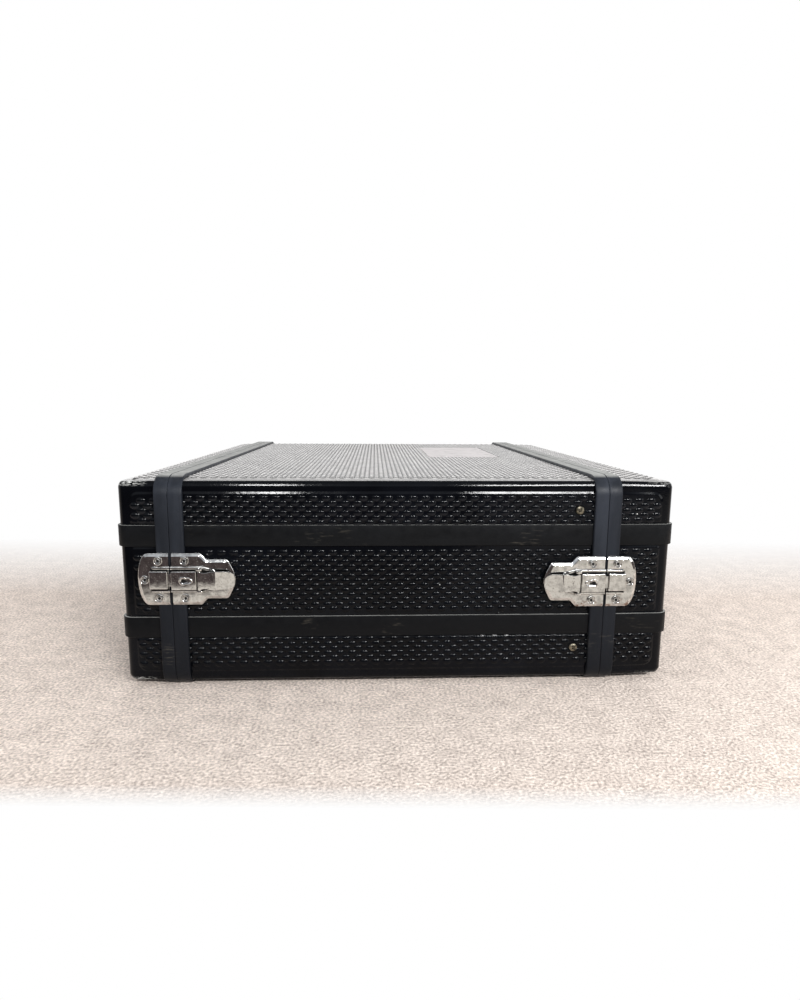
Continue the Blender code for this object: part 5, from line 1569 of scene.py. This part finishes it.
def pear_loop(seat, grow, out):
    """A pear-shaped loop round the keyhole, its tip away from the seam."""
    points = []
    for step in range(40):
        angle = math.tau * step / 40
        ahead = max(0, math.cos(angle))
        reach = (PEAR_RADIUS + (PEAR_TIP - PEAR_RADIUS) * ahead**6) + grow
        points.append(seat.at(PLUG_ALONG + reach * math.cos(angle), out, reach * math.sin(angle)))
    return points


def lock_plug(seat, name, nodes):
    """The lock plug: a pear-shaped dished face with the keyhole, and a dark plate below it that paints the
    shade inside the keyhole.
    """
    body = name_of_body(seat, "lock_plug")
    ring = circle(PLUG_RADIUS, 32, (PLUG_ALONG, 0))
    barrel = seat.plate(ring, (TUNNEL_ROOF, LOCK_TOP - PLUG_BARREL_DROP))
    face = loft([pear_loop(seat, grow, LOCK_TOP + out) for grow, out in PLUG_FACE])
    hole = seat.plate(keyhole(), (LOCK_TOP - KEYHOLE_DEPTH, LOCK_TOP + OVERRUN))
    parts = [cut(barrel, hole.copy()), cut(face, hole)]
    make_piece(name, gather(parts), "steel_chrome_plated", body, nodes, crisp=True)
    # A dark plate low in the keyhole is painted shade
    keyhole_shade = seat.plate(keyhole(), (LOCK_TOP - KEYHOLE_DEPTH, LOCK_TOP - KEYHOLE_SHADE_DROP))
    make_piece(f"{name}_keyway", keyhole_shade, "steel_blackened", body, [])


HOOK_EDGE = 0.0003


def hook(seat, name, nodes):
    """The flat draw hook."""
    ups = (-HOOK_HALF_HEIGHT, HOOK_HALF_HEIGHT)
    solid = soften(seat.block((-HOOK_REACH, HOOK_TAIL), (HOOK_BOTTOM, HOOK_TOP), ups), HOOK_EDGE, 2)
    body = name_of_body(seat, "hook")
    make_piece(name, solid, "steel_chrome_plated", body, nodes, crisp=True)


# Stations along the lever: distance from the seam, lift of its sheet, and half its width
LEVER_STATIONS = (
    (0.0266, 0, 0.0087), (0.0290, 0, 0.0087), (0.0303, 0, 0.0080), (0.0325, 0, 0.0077),
    (0.0350, 0, 0.0078), (0.0372, 0, 0.0084), (0.0390, 0, 0.0089), (0.0425, 0, 0.0089),
    (0.0433, -0.0001, 0.0089), (0.0442, -0.0005, 0.0089), (0.0452, -0.0007, 0.0089),
    (0.0480, -0.0011, 0.0089), (0.0510, -0.00152, 0.0088), (0.0540, -0.00194, 0.0086),
    (0.0562, -0.00225, 0.0081), (0.0580, -0.0025, 0.0073), (0.0592, -0.00266, 0.0063),
    (0.0601, -0.0028, 0.0050), (0.0605, -0.00285, 0.0034),
)
LEVER_UNDER_EDGE = 0.0004
LEVER_UPPER_EDGE = 0.0005
LEVER_KNUCKLE_HALF = 0.0087
LEVER_KNUCKLE_EDGE = 0.0003
LEVER_PIN_RADIUS = 0.0012
LEVER_PIN_EDGE = 0.0004


def lever(seat, name, nodes):
    """The lever: knuckle and pin, a waisted flat, and a round-ended tab that falls away beyond a crease."""
    half_sheet = LEVER_SHEET / 2
    loops = []
    for i, (along, lift, half) in enumerate(LEVER_STATIONS):
        thin = half_sheet * (0.75 if i == len(LEVER_STATIONS) - 1 else 1.0)
        out = LEVER_TOP - half_sheet + lift
        lean = half * TAB_LEAN * min(1, max(0, (along - TAB_START) / TAB_TURN))
        section = fillet([
            (-half, out - thin - lean, LEVER_UNDER_EDGE), (half, out - thin + lean, LEVER_UNDER_EDGE),
            (half, out + thin + lean, LEVER_UPPER_EDGE), (-half, out + thin - lean, LEVER_UPPER_EDGE),
        ], 2)
        loops.append([seat.at(along, level, up) for up, level in section])
    sheet = loft(loops)
    pivot = (LEVER_PIVOT_ALONG, PIVOT_OUT)
    knuckle = seat.bar(circle(LEVER_KNUCKLE_RADIUS, 20, pivot), (-LEVER_KNUCKLE_HALF, LEVER_KNUCKLE_HALF))
    reach = GUIDE_INNER_HALF + GUIDE_WIDTH
    pin = seat.bar(circle(LEVER_PIN_RADIUS, 14, pivot), (-reach, reach))
    pin = soften(pin, LEVER_PIN_EDGE, 2, 60)
    parts = [sheet, soften(knuckle, LEVER_KNUCKLE_EDGE, 2, 60), pin]
    body = name_of_body(seat, "lever")
    make_piece(name, gather(parts), "steel_chrome_plated", body, nodes, crisp=True)


def name_of_body(seat, part):
    """The body of one of a latch's moving parts."""
    side_name = "near" if seat.side < 0 else "far"
    return f"latch_{seat.end.name}_{side_name}_{part}"


def lathe(profile, sides):
    """A closed turned solid about Z from radii and heights, from its foot to its middle."""
    loops = []
    for radius, height in profile:
        loops.append([(x, y, height) for x, y in circle(radius, sides)])
    return loft(loops)


# Shares of a rivet's radius and of its height
RIVET_SHARES = (
    (1.0, -0.4), (1.0, 0.25), (0.96, 0.50), (0.88, 0.60), (0.80, 0.42), (0.73, 0.05), (0.66, -0.05),
    (0.60, 0.15), (0.54, 0.65), (0.46, 0.98), (0.38, 0.98), (0.30, 0.70), (0.28, 0.1), (0.27, -0.35),
    (0.02, -0.38),
)
RIVET_STUB_SHARES = ((0.30, -0.3), (0.30, 0.2), (0.05, 0.3))
RIVET_HEIGHT = 0.0012
RIVET_STUB_HEIGHT = 0.0011


def rivet_solid(radius):
    """Head of a pop rivet: a thin flange, a groove and a raised collar round its hole."""
    return lathe([(radius * wide, RIVET_HEIGHT * high) for wide, high in RIVET_SHARES], 24)


def rivet_stub(radius):
    """The broken mandrel in a rivet's hole, below its collar, made dark as painted shade in the hole."""
    return lathe([(radius * wide, RIVET_STUB_HEIGHT * high) for wide, high in RIVET_STUB_SHARES], 12)


def put_rivets(name, places, body, sizes, seed):
    """Rivets and their dark stubs at places on a body."""
    solid = spread(rivet_solid(sizes.rivet_radius), places, seed, "steel_chrome_plated")
    make_piece(name, solid, "steel_chrome_plated", body, [])
    solid = spread(rivet_stub(sizes.rivet_radius), places, seed, "steel_blackened")
    make_piece(f"{name}_stubs", solid, "steel_blackened", body, [])


def latch_rivets(sizes):
    """Pop rivets of all latches, one piece for each body."""
    groups = {"case_body": [], "rear_lid": [], "front_lid": []}
    for end in (REAR, FRONT):
        for _, side in SIDES:
            seat = Seat(end, side)
            facing = (0, side, 0)
            catch = [(-CATCH_RIVET_ALONG, RIVET_UP), (-CATCH_RIVET_ALONG, -RIVET_UP)]
            catch.append((-CATCH_END_RIVET_ALONG, 0))
            base = [(BASE_RIVET_ALONG, RIVET_UP), (BASE_RIVET_ALONG, -RIVET_UP)]
            groups[f"{end.name}_lid"] += [(seat.at(a, PLATE_TOP, u), facing) for a, u in catch]
            groups["case_body"] += [(seat.at(a, PLATE_TOP, u), facing) for a, u in base]
    for seed, (body, places) in enumerate(groups.items(), 3):
        put_rivets(f"{body}_rivets", places, body, sizes, seed)


# Small parts

# Shares of a screw's radius and of its head's height
SCREW_SHARES = (
    (0.42, -2.4), (0.46, -0.02), (1.0, 0.0), (1.0, 0.30), (0.96, 0.55), (0.84, 0.80), (0.62, 0.95),
    (0.35, 1.0), (0.10, 1.0),
)
SCREW_HEAD_HEIGHT = 0.0020
# The cross recess: a height, and the share of its full size there
RECESS_STEPS = ((0.0006, 0.5), (0.0030, 1.25))


def screw_solid(radius):
    """A pan-head screw with a cross recess and a short shank."""
    head = lathe([(radius * wide, SCREW_HEAD_HEIGHT * high) for wide, high in SCREW_SHARES], 24)
    long, wide = radius * 0.62, radius * 0.14
    corners = ((-long, -wide), (long, -wide), (long, wide), (-long, wide))
    for turn in (0, math.pi / 2):
        slot = loft([[(x * size, y * size, height) for x, y in corners] for height, size in RECESS_STEPS])
        bmesh.ops.rotate(slot, verts=slot.verts, matrix=Matrix.Rotation(turn, 3, "Z"))
        head = cut(head, slot)
    return head


def rail_screws(sizes):
    """The four rail screws."""
    places, nodes = [], []
    for side_name, side in SIDES:
        for level in ("upper", "lower"):
            node = f"rail_screw_{side_name}_{level}"
            centre = middle(node)
            places.append((Vector((centre.x, side * (FACE_Y + OVER_FIELD), centre.z)), (0, side, 0)))
            nodes.append(node)
    solid = spread(screw_solid(sizes.screw_radius), places, 11, "steel_zinc_yellow")
    make_piece("rail_screws", solid, "steel_zinc_yellow", "case_body", nodes)


LABEL_CORNER = 0.003
LABEL_EDGE = 0.0002


def label_plate():
    """The bare label plate on the top, its corners rounded."""
    low, high = span("label_plate")
    outline = rectangle(low.x, high.x, low.y, high.y, (LABEL_CORNER,) * 4)
    loops = []
    for step, z in ((0, low.z), (0, high.z - LABEL_EDGE), (LABEL_EDGE, high.z)):
        ring = inset(outline, step) if step else outline
        loops.append([(x, y, z) for x, y in ring])
    make_piece("top_label", loft(loops), "aluminium_foil_label", "case_body", ["label_plate"],
               crisp=True)


# Handle on the far side

HANDLE_PIVOT_OUT = 0.0069
HANDLE_PIN_RADIUS = 0.0025
HANDLE_ARM = 0.0597
HANDLE_SHOULDER = 0.0005
HANDLE_DROP = 0.035
# Corners of half the bail: along from its middle, up from its pivot and radius
BAIL_HALF = ((0.069, 0, 0), (HANDLE_ARM, 0, 0.0035), (HANDLE_ARM, -HANDLE_DROP, 0.009))
HANDLE_WIRE_RADIUS = 0.0030
GRIP_HALF = 0.0405
GRIP_RADIUS = 0.0046
GRIP_RIB_RISE = 0.0007
GRIP_RIBS = 21
BRACKET_CORNER = 0.003
# The bracket's pressed edge: how far in and how far out each step lies
BRACKET_STEPS = ((0, 0), (0, 0.0010), (0.0003, 0.0015), (0.0009, 0.0018))
BRACKET_SHEET = 0.0018
BRACKET_RIVET_DROP = 0.014
EYE_START = 0.0025
EYE_HALF = 0.0052
EYE_RADIUS = 0.005
EYE_HALF_WIDTH = 0.003
EYE_EDGE = 0.0005
EYE_BORE = 0.0028


def tube(places, radii, sides):
    """A closed tube through places in an upright plane along the case."""
    loops = []
    for i, place in enumerate(places):
        before = places[max(i - 1, 0)]
        after = places[min(i + 1, len(places) - 1)]
        ahead = (after - before).normalized()
        across = Vector((-ahead.z, 0, ahead.x))
        loop = []
        for cos_part, sin_part in circle(radii[i], sides):
            loop.append(place + across * cos_part + Vector((0, 1, 0)) * sin_part)
        loops.append(loop)
    return loft(loops)


def bail_wire(middle_x, pivot_y, pivot_z):
    """The bail's wire: a pin at each end, two arms and the bar that the grip is on."""
    path = fillet([(-a, u, radius) for a, u, radius in BAIL_HALF] + list(reversed(BAIL_HALF)), 8)
    places = [Vector((middle_x + a, pivot_y, pivot_z + u)) for a, u in path]
    pin_start = HANDLE_ARM + HANDLE_SHOULDER
    radii = [HANDLE_PIN_RADIUS if abs(a) > pin_start else HANDLE_WIRE_RADIUS for a, _ in path]
    return tube(places, radii, 16)


def bail_grip(middle_x, pivot_y, pivot_z):
    """The soft ribbed grip, drawn in at both ends."""
    steps = GRIP_RIBS * 4
    places, radii = [], []
    for step in range(steps + 1):
        share = step / steps
        wave = 0.5 - 0.5 * math.cos(math.tau * share * GRIP_RIBS)
        end_share = min(1, share * 12, (1 - share) * 12)
        full = 0.75 + 0.25 * math.sin(end_share * math.pi / 2)
        along = -GRIP_HALF + 2 * GRIP_HALF * share
        places.append(Vector((middle_x + along, pivot_y, pivot_z - HANDLE_DROP)))
        radii.append((GRIP_RADIUS + GRIP_RIB_RISE * wave) * full)
    return tube(places, radii, 20)


def round_pivot(ring, centre_x, half_width, pivot_z):
    """A ring given by out and up at the handle's pivot, stretched along the case."""
    ends = (centre_x - half_width, centre_x + half_width)
    return loft([[(x, FACE_Y + out, pivot_z + up) for out, up in ring] for x in ends])


def handle_bracket(end_name, pivot_z):
    """A pressed bracket with the bored eye that holds one of the bail's pins."""
    node = f"handle_bracket_{end_name}"
    low, high = span(node)
    centre_x = middle(node).x
    outline = rectangle(low.x, high.x, low.z, high.z, (BRACKET_CORNER,) * 4)
    loops = []
    for step, out in BRACKET_STEPS:
        ring = inset(outline, step) if step else outline
        loops.append([(x, FACE_Y + OVER_FIELD + out, z) for x, z in ring])
    tip = HANDLE_PIVOT_OUT + EYE_HALF
    half_eye = [(tip, EYE_HALF, EYE_RADIUS), (EYE_START, EYE_HALF, 0)]
    eye_ring = fillet(half_eye + [(out, -up, radius) for out, up, radius in reversed(half_eye)], 8)
    eye = soften(round_pivot(eye_ring, centre_x, EYE_HALF_WIDTH, pivot_z), EYE_EDGE, 2)
    bore_ring = circle(EYE_BORE, 24, (HANDLE_PIVOT_OUT, 0))
    bore = round_pivot(bore_ring, centre_x, EYE_HALF_WIDTH + OVERRUN, pivot_z)
    parts = [loft(loops), cut(eye, bore)]
    name = f"carry_bracket_{end_name}"
    make_piece(name, gather(parts), "steel_chrome_plated", "case_body", [node], crisp=True)


def handle(sizes):
    """The carrying handle: a wire bail with its grip, two pressed brackets and their rivets."""
    low, high = span("handle_bail")
    pivot_z = high.z - HANDLE_PIN_RADIUS
    pivot = ((low.x + high.x) / 2, FACE_Y + HANDLE_PIVOT_OUT, pivot_z)
    parts = [bail_wire(*pivot), bail_grip(*pivot)]
    make_piece("carry_bail", gather(parts), "pvc_soft_moulded", "handle", ["handle_bail"])
    places = []
    for end_name in ("rear", "front"):
        handle_bracket(end_name, pivot_z)
        x = middle(f"handle_bracket_{end_name}").x
        y = FACE_Y + OVER_FIELD + BRACKET_SHEET
        places.append((Vector((x, y, pivot_z - BRACKET_RIVET_DROP)), (0, 1, 0)))
    put_rivets("carry_rivets", places, "case_body", sizes, 5)


# Stage

CAMERA_PLACE = (-0.0244, -0.8358, 0.2734)
CAMERA_YAW = 0.0417
CAMERA_PITCH = 0.1552
CAMERA_ROLL = 0.0059
CAMERA_LENS_MM = 22.03
CAMERA_SENSOR_MM = 36.0
FLOOR_HALF_WIDTH = 4.0
FLOOR_NEAR = -0.455
FLOOR_FAR = 0.375
FLOOR_FADE = 0.025
HORIZON_FADE = 0.36


def stage_floor(colours):
    """A plain pale carpeted floor, which the white backdrop takes over in front and behind."""
    bm = bmesh.new()
    half = FLOOR_HALF_WIDTH
    corners = [(-half, FLOOR_NEAR), (half, FLOOR_NEAR), (half, FLOOR_FAR), (-half, FLOOR_FAR)]
    turn = Matrix.Rotation(-CAMERA_YAW, 3, "Z")
    bm.faces.new([bm.verts.new(turn @ Vector((x, y, 0))) for x, y in corners])
    floor = temporary("floor", bm)
    material = bpy.data.materials.new("stage_floor")
    material.use_nodes = True
    tree = material.node_tree
    add = partial(add_node, tree)
    tree.nodes.clear()
    place = add("ShaderNodeTexCoord").outputs["Object"]
    # Tufts of a cut pile stand under 3 mm apart, and lean in patches about 20 mm wide
    tufts = patches(tree, place, 0.0026, 0.34, 0.66, 8.0)
    leaning = patches(tree, place, 0.020, 0.30, 0.70, 4.0)
    nap = add("ShaderNodeMix", {0: 0.25, 2: tufts, 3: leaning})
    pale = tuple(colours.floor)
    colour = add("ShaderNodeMix", {0: nap, 6: paler(pale, 0.48), 7: paler(pale, 1.30)}, data_type="RGBA")
    relief = add("ShaderNodeBump", {"Height": tufts, "Distance": 0.0005, "Strength": 1.0})
    diffuse = add("ShaderNodeBsdfDiffuse", {"Color": colour, "Normal": relief})
    clear = add("ShaderNodeBsdfTransparent")
    turned = add("ShaderNodeMapping", {"Vector": place, "Rotation": (0, 0, CAMERA_YAW)})
    depth = add("ShaderNodeSeparateXYZ", {0: turned}).outputs[1]
    near = add("ShaderNodeMapRange", {0: depth, 1: FLOOR_NEAR, 2: FLOOR_NEAR + FLOOR_FADE})
    far = add("ShaderNodeMapRange", {0: depth, 1: FLOOR_FAR, 2: FLOOR_FAR - HORIZON_FADE})
    shown = add("ShaderNodeMath", {0: near, 1: far}, operation="MULTIPLY")
    mixed = add("ShaderNodeMixShader", {0: shown, 1: clear, 2: diffuse})
    add("ShaderNodeOutputMaterial", {"Surface": mixed})
    floor.data.materials.append(material)


def stage_world():
    """White behind the case, and a dim room with a pale floor in front of it."""
    world = bpy.data.worlds.new("studio")
    world.use_nodes = True
    bpy.context.scene.world = world
    tree = world.node_tree
    add = partial(add_node, tree)
    tree.nodes.clear()
    direction = add("ShaderNodeTexCoord").outputs["Generated"]
    across, depth, height = add("ShaderNodeSeparateXYZ", {0: direction}).outputs
    # The room in front: brown and dim low down, paler above
    rise = add("ShaderNodeMapRange", {0: height, 1: 0.18, 2: 0.34})
    room = add("ShaderNodeMix", {0: rise, 6: linear("#544b4b"), 7: linear("#dde2ea")}, data_type="RGBA")
    # The pale floor reaches further up on the right
    limit = add("ShaderNodeMapRange", {0: across, 1: 0.12, 2: 0.24, 3: -0.285, 4: -0.13})
    above = add("ShaderNodeMath", {0: height, 1: limit}, operation="SUBTRACT")
    carpet = add("ShaderNodeMapRange", {0: above, 1: 0.008, 2: -0.008})
    room = add("ShaderNodeMix", {0: carpet, 6: room, 7: linear("#efe8df")}, data_type="RGBA")
    # The white backdrop behind, dimmer overhead
    overhead = add("ShaderNodeMapRange", {0: height, 1: 0.40, 2: 0.85})
    links = {0: overhead, 6: linear("#ffffff"), 7: linear("#8f9196")}
    backdrop = add("ShaderNodeMix", links, data_type="RGBA")
    behind = add("ShaderNodeMapRange", {0: depth, 1: -0.35, 2: 0.45})
    room = add("ShaderNodeMix", {0: overhead, 6: room, 7: linear("#8f9196")}, data_type="RGBA")
    light = add("ShaderNodeMix", {0: behind, 6: room, 7: backdrop}, data_type="RGBA")
    path = add("ShaderNodeLightPath")
    links = {0: path.outputs["Is Camera Ray"], 1: path.outputs["Is Transmission Ray"]}
    seen = add("ShaderNodeMath", links, operation="ADD")
    shown = add("ShaderNodeMix", {0: seen, 6: light, 7: linear("#ffffff")}, data_type="RGBA")
    background = add("ShaderNodeBackground", {"Color": shown, "Strength": 1.0})
    add("ShaderNodeOutputWorld", {"Surface": background})


def add_lamp(name, place, aim, width, height, radiance):
    """A rectangular soft lamp aimed at a point, as bright as its radiance says."""
    data = bpy.data.lights.new(name, "AREA")
    data.shape = "RECTANGLE"
    data.size = width
    data.size_y = height
    data.energy = radiance * math.pi * width * height
    lamp = new_object(name, data)
    toward = Vector(aim) - Vector(place)
    lamp.location = place
    lamp.rotation_euler = toward.to_track_quat("-Z", "Y").to_euler()


def stage_lamps():
    """Two soft windows in front with the camera between them, soft boxes overhead, behind and aside."""
    add_lamp("window_left", (-0.365, -1.47, 0.88), (-0.30, -0.27, 0.2), 0.17, 0.09, 120.0)
    add_lamp("window_right", (0.66, -1.47, 0.88), (0.24, -0.27, 0.2), 0.72, 0.09, 115.0)
    add_lamp("overhead", (0.0, -0.30, 1.60), (0.0, -0.30, 0.2), 1.6, 0.14, 4.5)
    add_lamp("behind", (0.0, 1.10, 1.30), (0.0, 0.30, 0.0), 2.0, 0.50, 4.0)
    add_lamp("side_window", (1.50, -0.90, 0.50), (0.20, -0.27, 0.1), 0.60, 0.60, 3.0)


def stage_camera():
    """The camera of the photograph."""
    yaw, pitch, roll = CAMERA_YAW, CAMERA_PITCH, CAMERA_ROLL
    ahead = Vector((math.sin(yaw) * math.cos(pitch), math.cos(yaw) * math.cos(pitch), -math.sin(pitch)))
    right = Vector((math.cos(yaw), -math.sin(yaw), 0))
    up = right.cross(ahead)
    turned_right = right * math.cos(roll) + up * math.sin(roll)
    turned_up = up * math.cos(roll) - right * math.sin(roll)
    data = bpy.data.cameras.new("camera")
    data.lens = CAMERA_LENS_MM
    data.sensor_width = CAMERA_SENSOR_MM
    camera = new_object("camera", data)
    camera.matrix_world = frame_of(CAMERA_PLACE, turned_right, turned_up, -ahead)
    bpy.context.scene.camera = camera


# Operators and panel


class RACKCASE_OT_body_shells(bpy.types.Operator):
    """Make the body's shells and side panels with their studs"""

    bl_idname = "rack_case.body_shells"
    bl_label = "Body shells"

    def execute(self, context):
        body_shells(context.scene.rack_case_sizes)
        return {"FINISHED"}


class RACKCASE_OT_lid_shells(bpy.types.Operator):
    """Make the shells of both lids with their studs"""

    bl_idname = "rack_case.lid_shells"
    bl_label = "Lid shells"

    def execute(self, context):
        for end in (REAR, FRONT):
            lid_shells(end, context.scene.rack_case_sizes)
        return {"FINISHED"}


class RACKCASE_OT_rings(bpy.types.Operator):
    """Make the closure rings"""

    bl_idname = "rack_case.rings"
    bl_label = "Closure rings"

    def execute(self, context):
        rings(context.scene.rack_case_sizes)
        return {"FINISHED"}


class RACKCASE_OT_bands(bpy.types.Operator):
    """Make the joint bands"""

    bl_idname = "rack_case.bands"
    bl_label = "Joint bands"

    def execute(self, context):
        bands(context.scene.rack_case_sizes)
        return {"FINISHED"}


class RACKCASE_OT_latches(bpy.types.Operator):
    """Make the four latches and their rivets"""

    bl_idname = "rack_case.latches"
    bl_label = "Latches"

    def execute(self, context):
        sizes = context.scene.rack_case_sizes
        for end in (REAR, FRONT):
            for side_name, side in SIDES:
                seat = Seat(end, side)
                node = f"latch_{end.name}_{side_name}"
                short = f"draw_latch_{end.name}_{side_name}"
                catch_plate(seat, f"{short}_catch", [f"{node}_catch_plate"], sizes)
                base_plate(seat, f"{short}_base", [f"{node}_base_plate"], sizes)
                lock_housing(seat, f"{short}_housing", [f"{node}_lock_housing"])
                lock_plug(seat, f"{short}_plug", [f"{node}_lock_plug"])
                hook(seat, f"{short}_hook", [f"{node}_hook"])
                lever(seat, f"{short}_lever", [f"{node}_lever"])
        latch_rivets(sizes)
        return {"FINISHED"}


class RACKCASE_OT_rail_screws(bpy.types.Operator):
    """Make the rail screws"""

    bl_idname = "rack_case.rail_screws"
    bl_label = "Rail screws"

    def execute(self, context):
        rail_screws(context.scene.rack_case_sizes)
        return {"FINISHED"}


class RACKCASE_OT_label(bpy.types.Operator):
    """Make the bare label plate"""

    bl_idname = "rack_case.label"
    bl_label = "Label plate"

    def execute(self, context):
        label_plate()
        return {"FINISHED"}


class RACKCASE_OT_handle(bpy.types.Operator):
    """Make the carrying handle"""

    bl_idname = "rack_case.handle"
    bl_label = "Handle"

    def execute(self, context):
        handle(context.scene.rack_case_sizes)
        return {"FINISHED"}


class RACKCASE_OT_rails(bpy.types.Operator):
    """Give the rack rails their finish"""

    bl_idname = "rack_case.rails"
    bl_label = "Rack rails"

    def execute(self, context):
        for side_name, _ in SIDES:
            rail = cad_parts[f"rack_rail_{side_name}"]
            for slot in rail.material_slots:
                slot.material = finish_named("steel_zinc_clear")
        return {"FINISHED"}


class RACKCASE_OT_stage(bpy.types.Operator):
    """Make the floor, the lights, the world and the camera"""

    bl_idname = "rack_case.stage"
    bl_label = "Stage"

    def execute(self, context):
        context.scene.view_settings.view_transform = "Standard"
        stage_floor(context.scene.rack_case_colours)
        stage_world()
        stage_lamps()
        stage_camera()
        return {"FINISHED"}


PIECES = (
    RACKCASE_OT_body_shells,
    RACKCASE_OT_lid_shells,
    RACKCASE_OT_rings,
    RACKCASE_OT_bands,
    RACKCASE_OT_latches,
    RACKCASE_OT_rail_screws,
    RACKCASE_OT_label,
    RACKCASE_OT_handle,
    RACKCASE_OT_rails,
    RACKCASE_OT_stage,
)


class RACKCASE_PT_panel(bpy.types.Panel):
    """Sizes, colours and pieces of the rack case"""

    bl_idname = "RACKCASE_PT_panel"
    bl_label = "Rack case"
    bl_space_type = "VIEW_3D"
    bl_region_type = "UI"
    bl_category = "Rack case"

    def draw(self, context):
        for group in (context.scene.rack_case_sizes, context.scene.rack_case_colours):
            column = self.layout.column(align=True)
            for name in group.__annotations__:
                column.prop(group, name)
        column = self.layout.column(align=True)
        for piece in PIECES:
            column.operator(piece.bl_idname)


CLASSES = (RackCaseSizes, RackCaseColours, *PIECES, RACKCASE_PT_panel)


def register():
    """Register the classes and the scene's properties."""
    for cls in CLASSES:
        bpy.utils.register_class(cls)
    bpy.types.Scene.rack_case_sizes = bpy.props.PointerProperty(type=RackCaseSizes)
    bpy.types.Scene.rack_case_colours = bpy.props.PointerProperty(type=RackCaseColours)


def unregister():
    """Remove the scene's properties and the classes."""
    del bpy.types.Scene.rack_case_colours
    del bpy.types.Scene.rack_case_sizes
    for cls in reversed(CLASSES):
        bpy.utils.unregister_class(cls)


def main():
    """Make every piece and the stage."""
    register()
    bpy.ops.rack_case.body_shells()
    bpy.ops.rack_case.lid_shells()
    bpy.ops.rack_case.rings()
    bpy.ops.rack_case.bands()
    bpy.ops.rack_case.latches()
    bpy.ops.rack_case.rail_screws()
    bpy.ops.rack_case.label()
    bpy.ops.rack_case.handle()
    bpy.ops.rack_case.rails()
    bpy.ops.rack_case.stage()


if __name__ == "__main__":
    main()
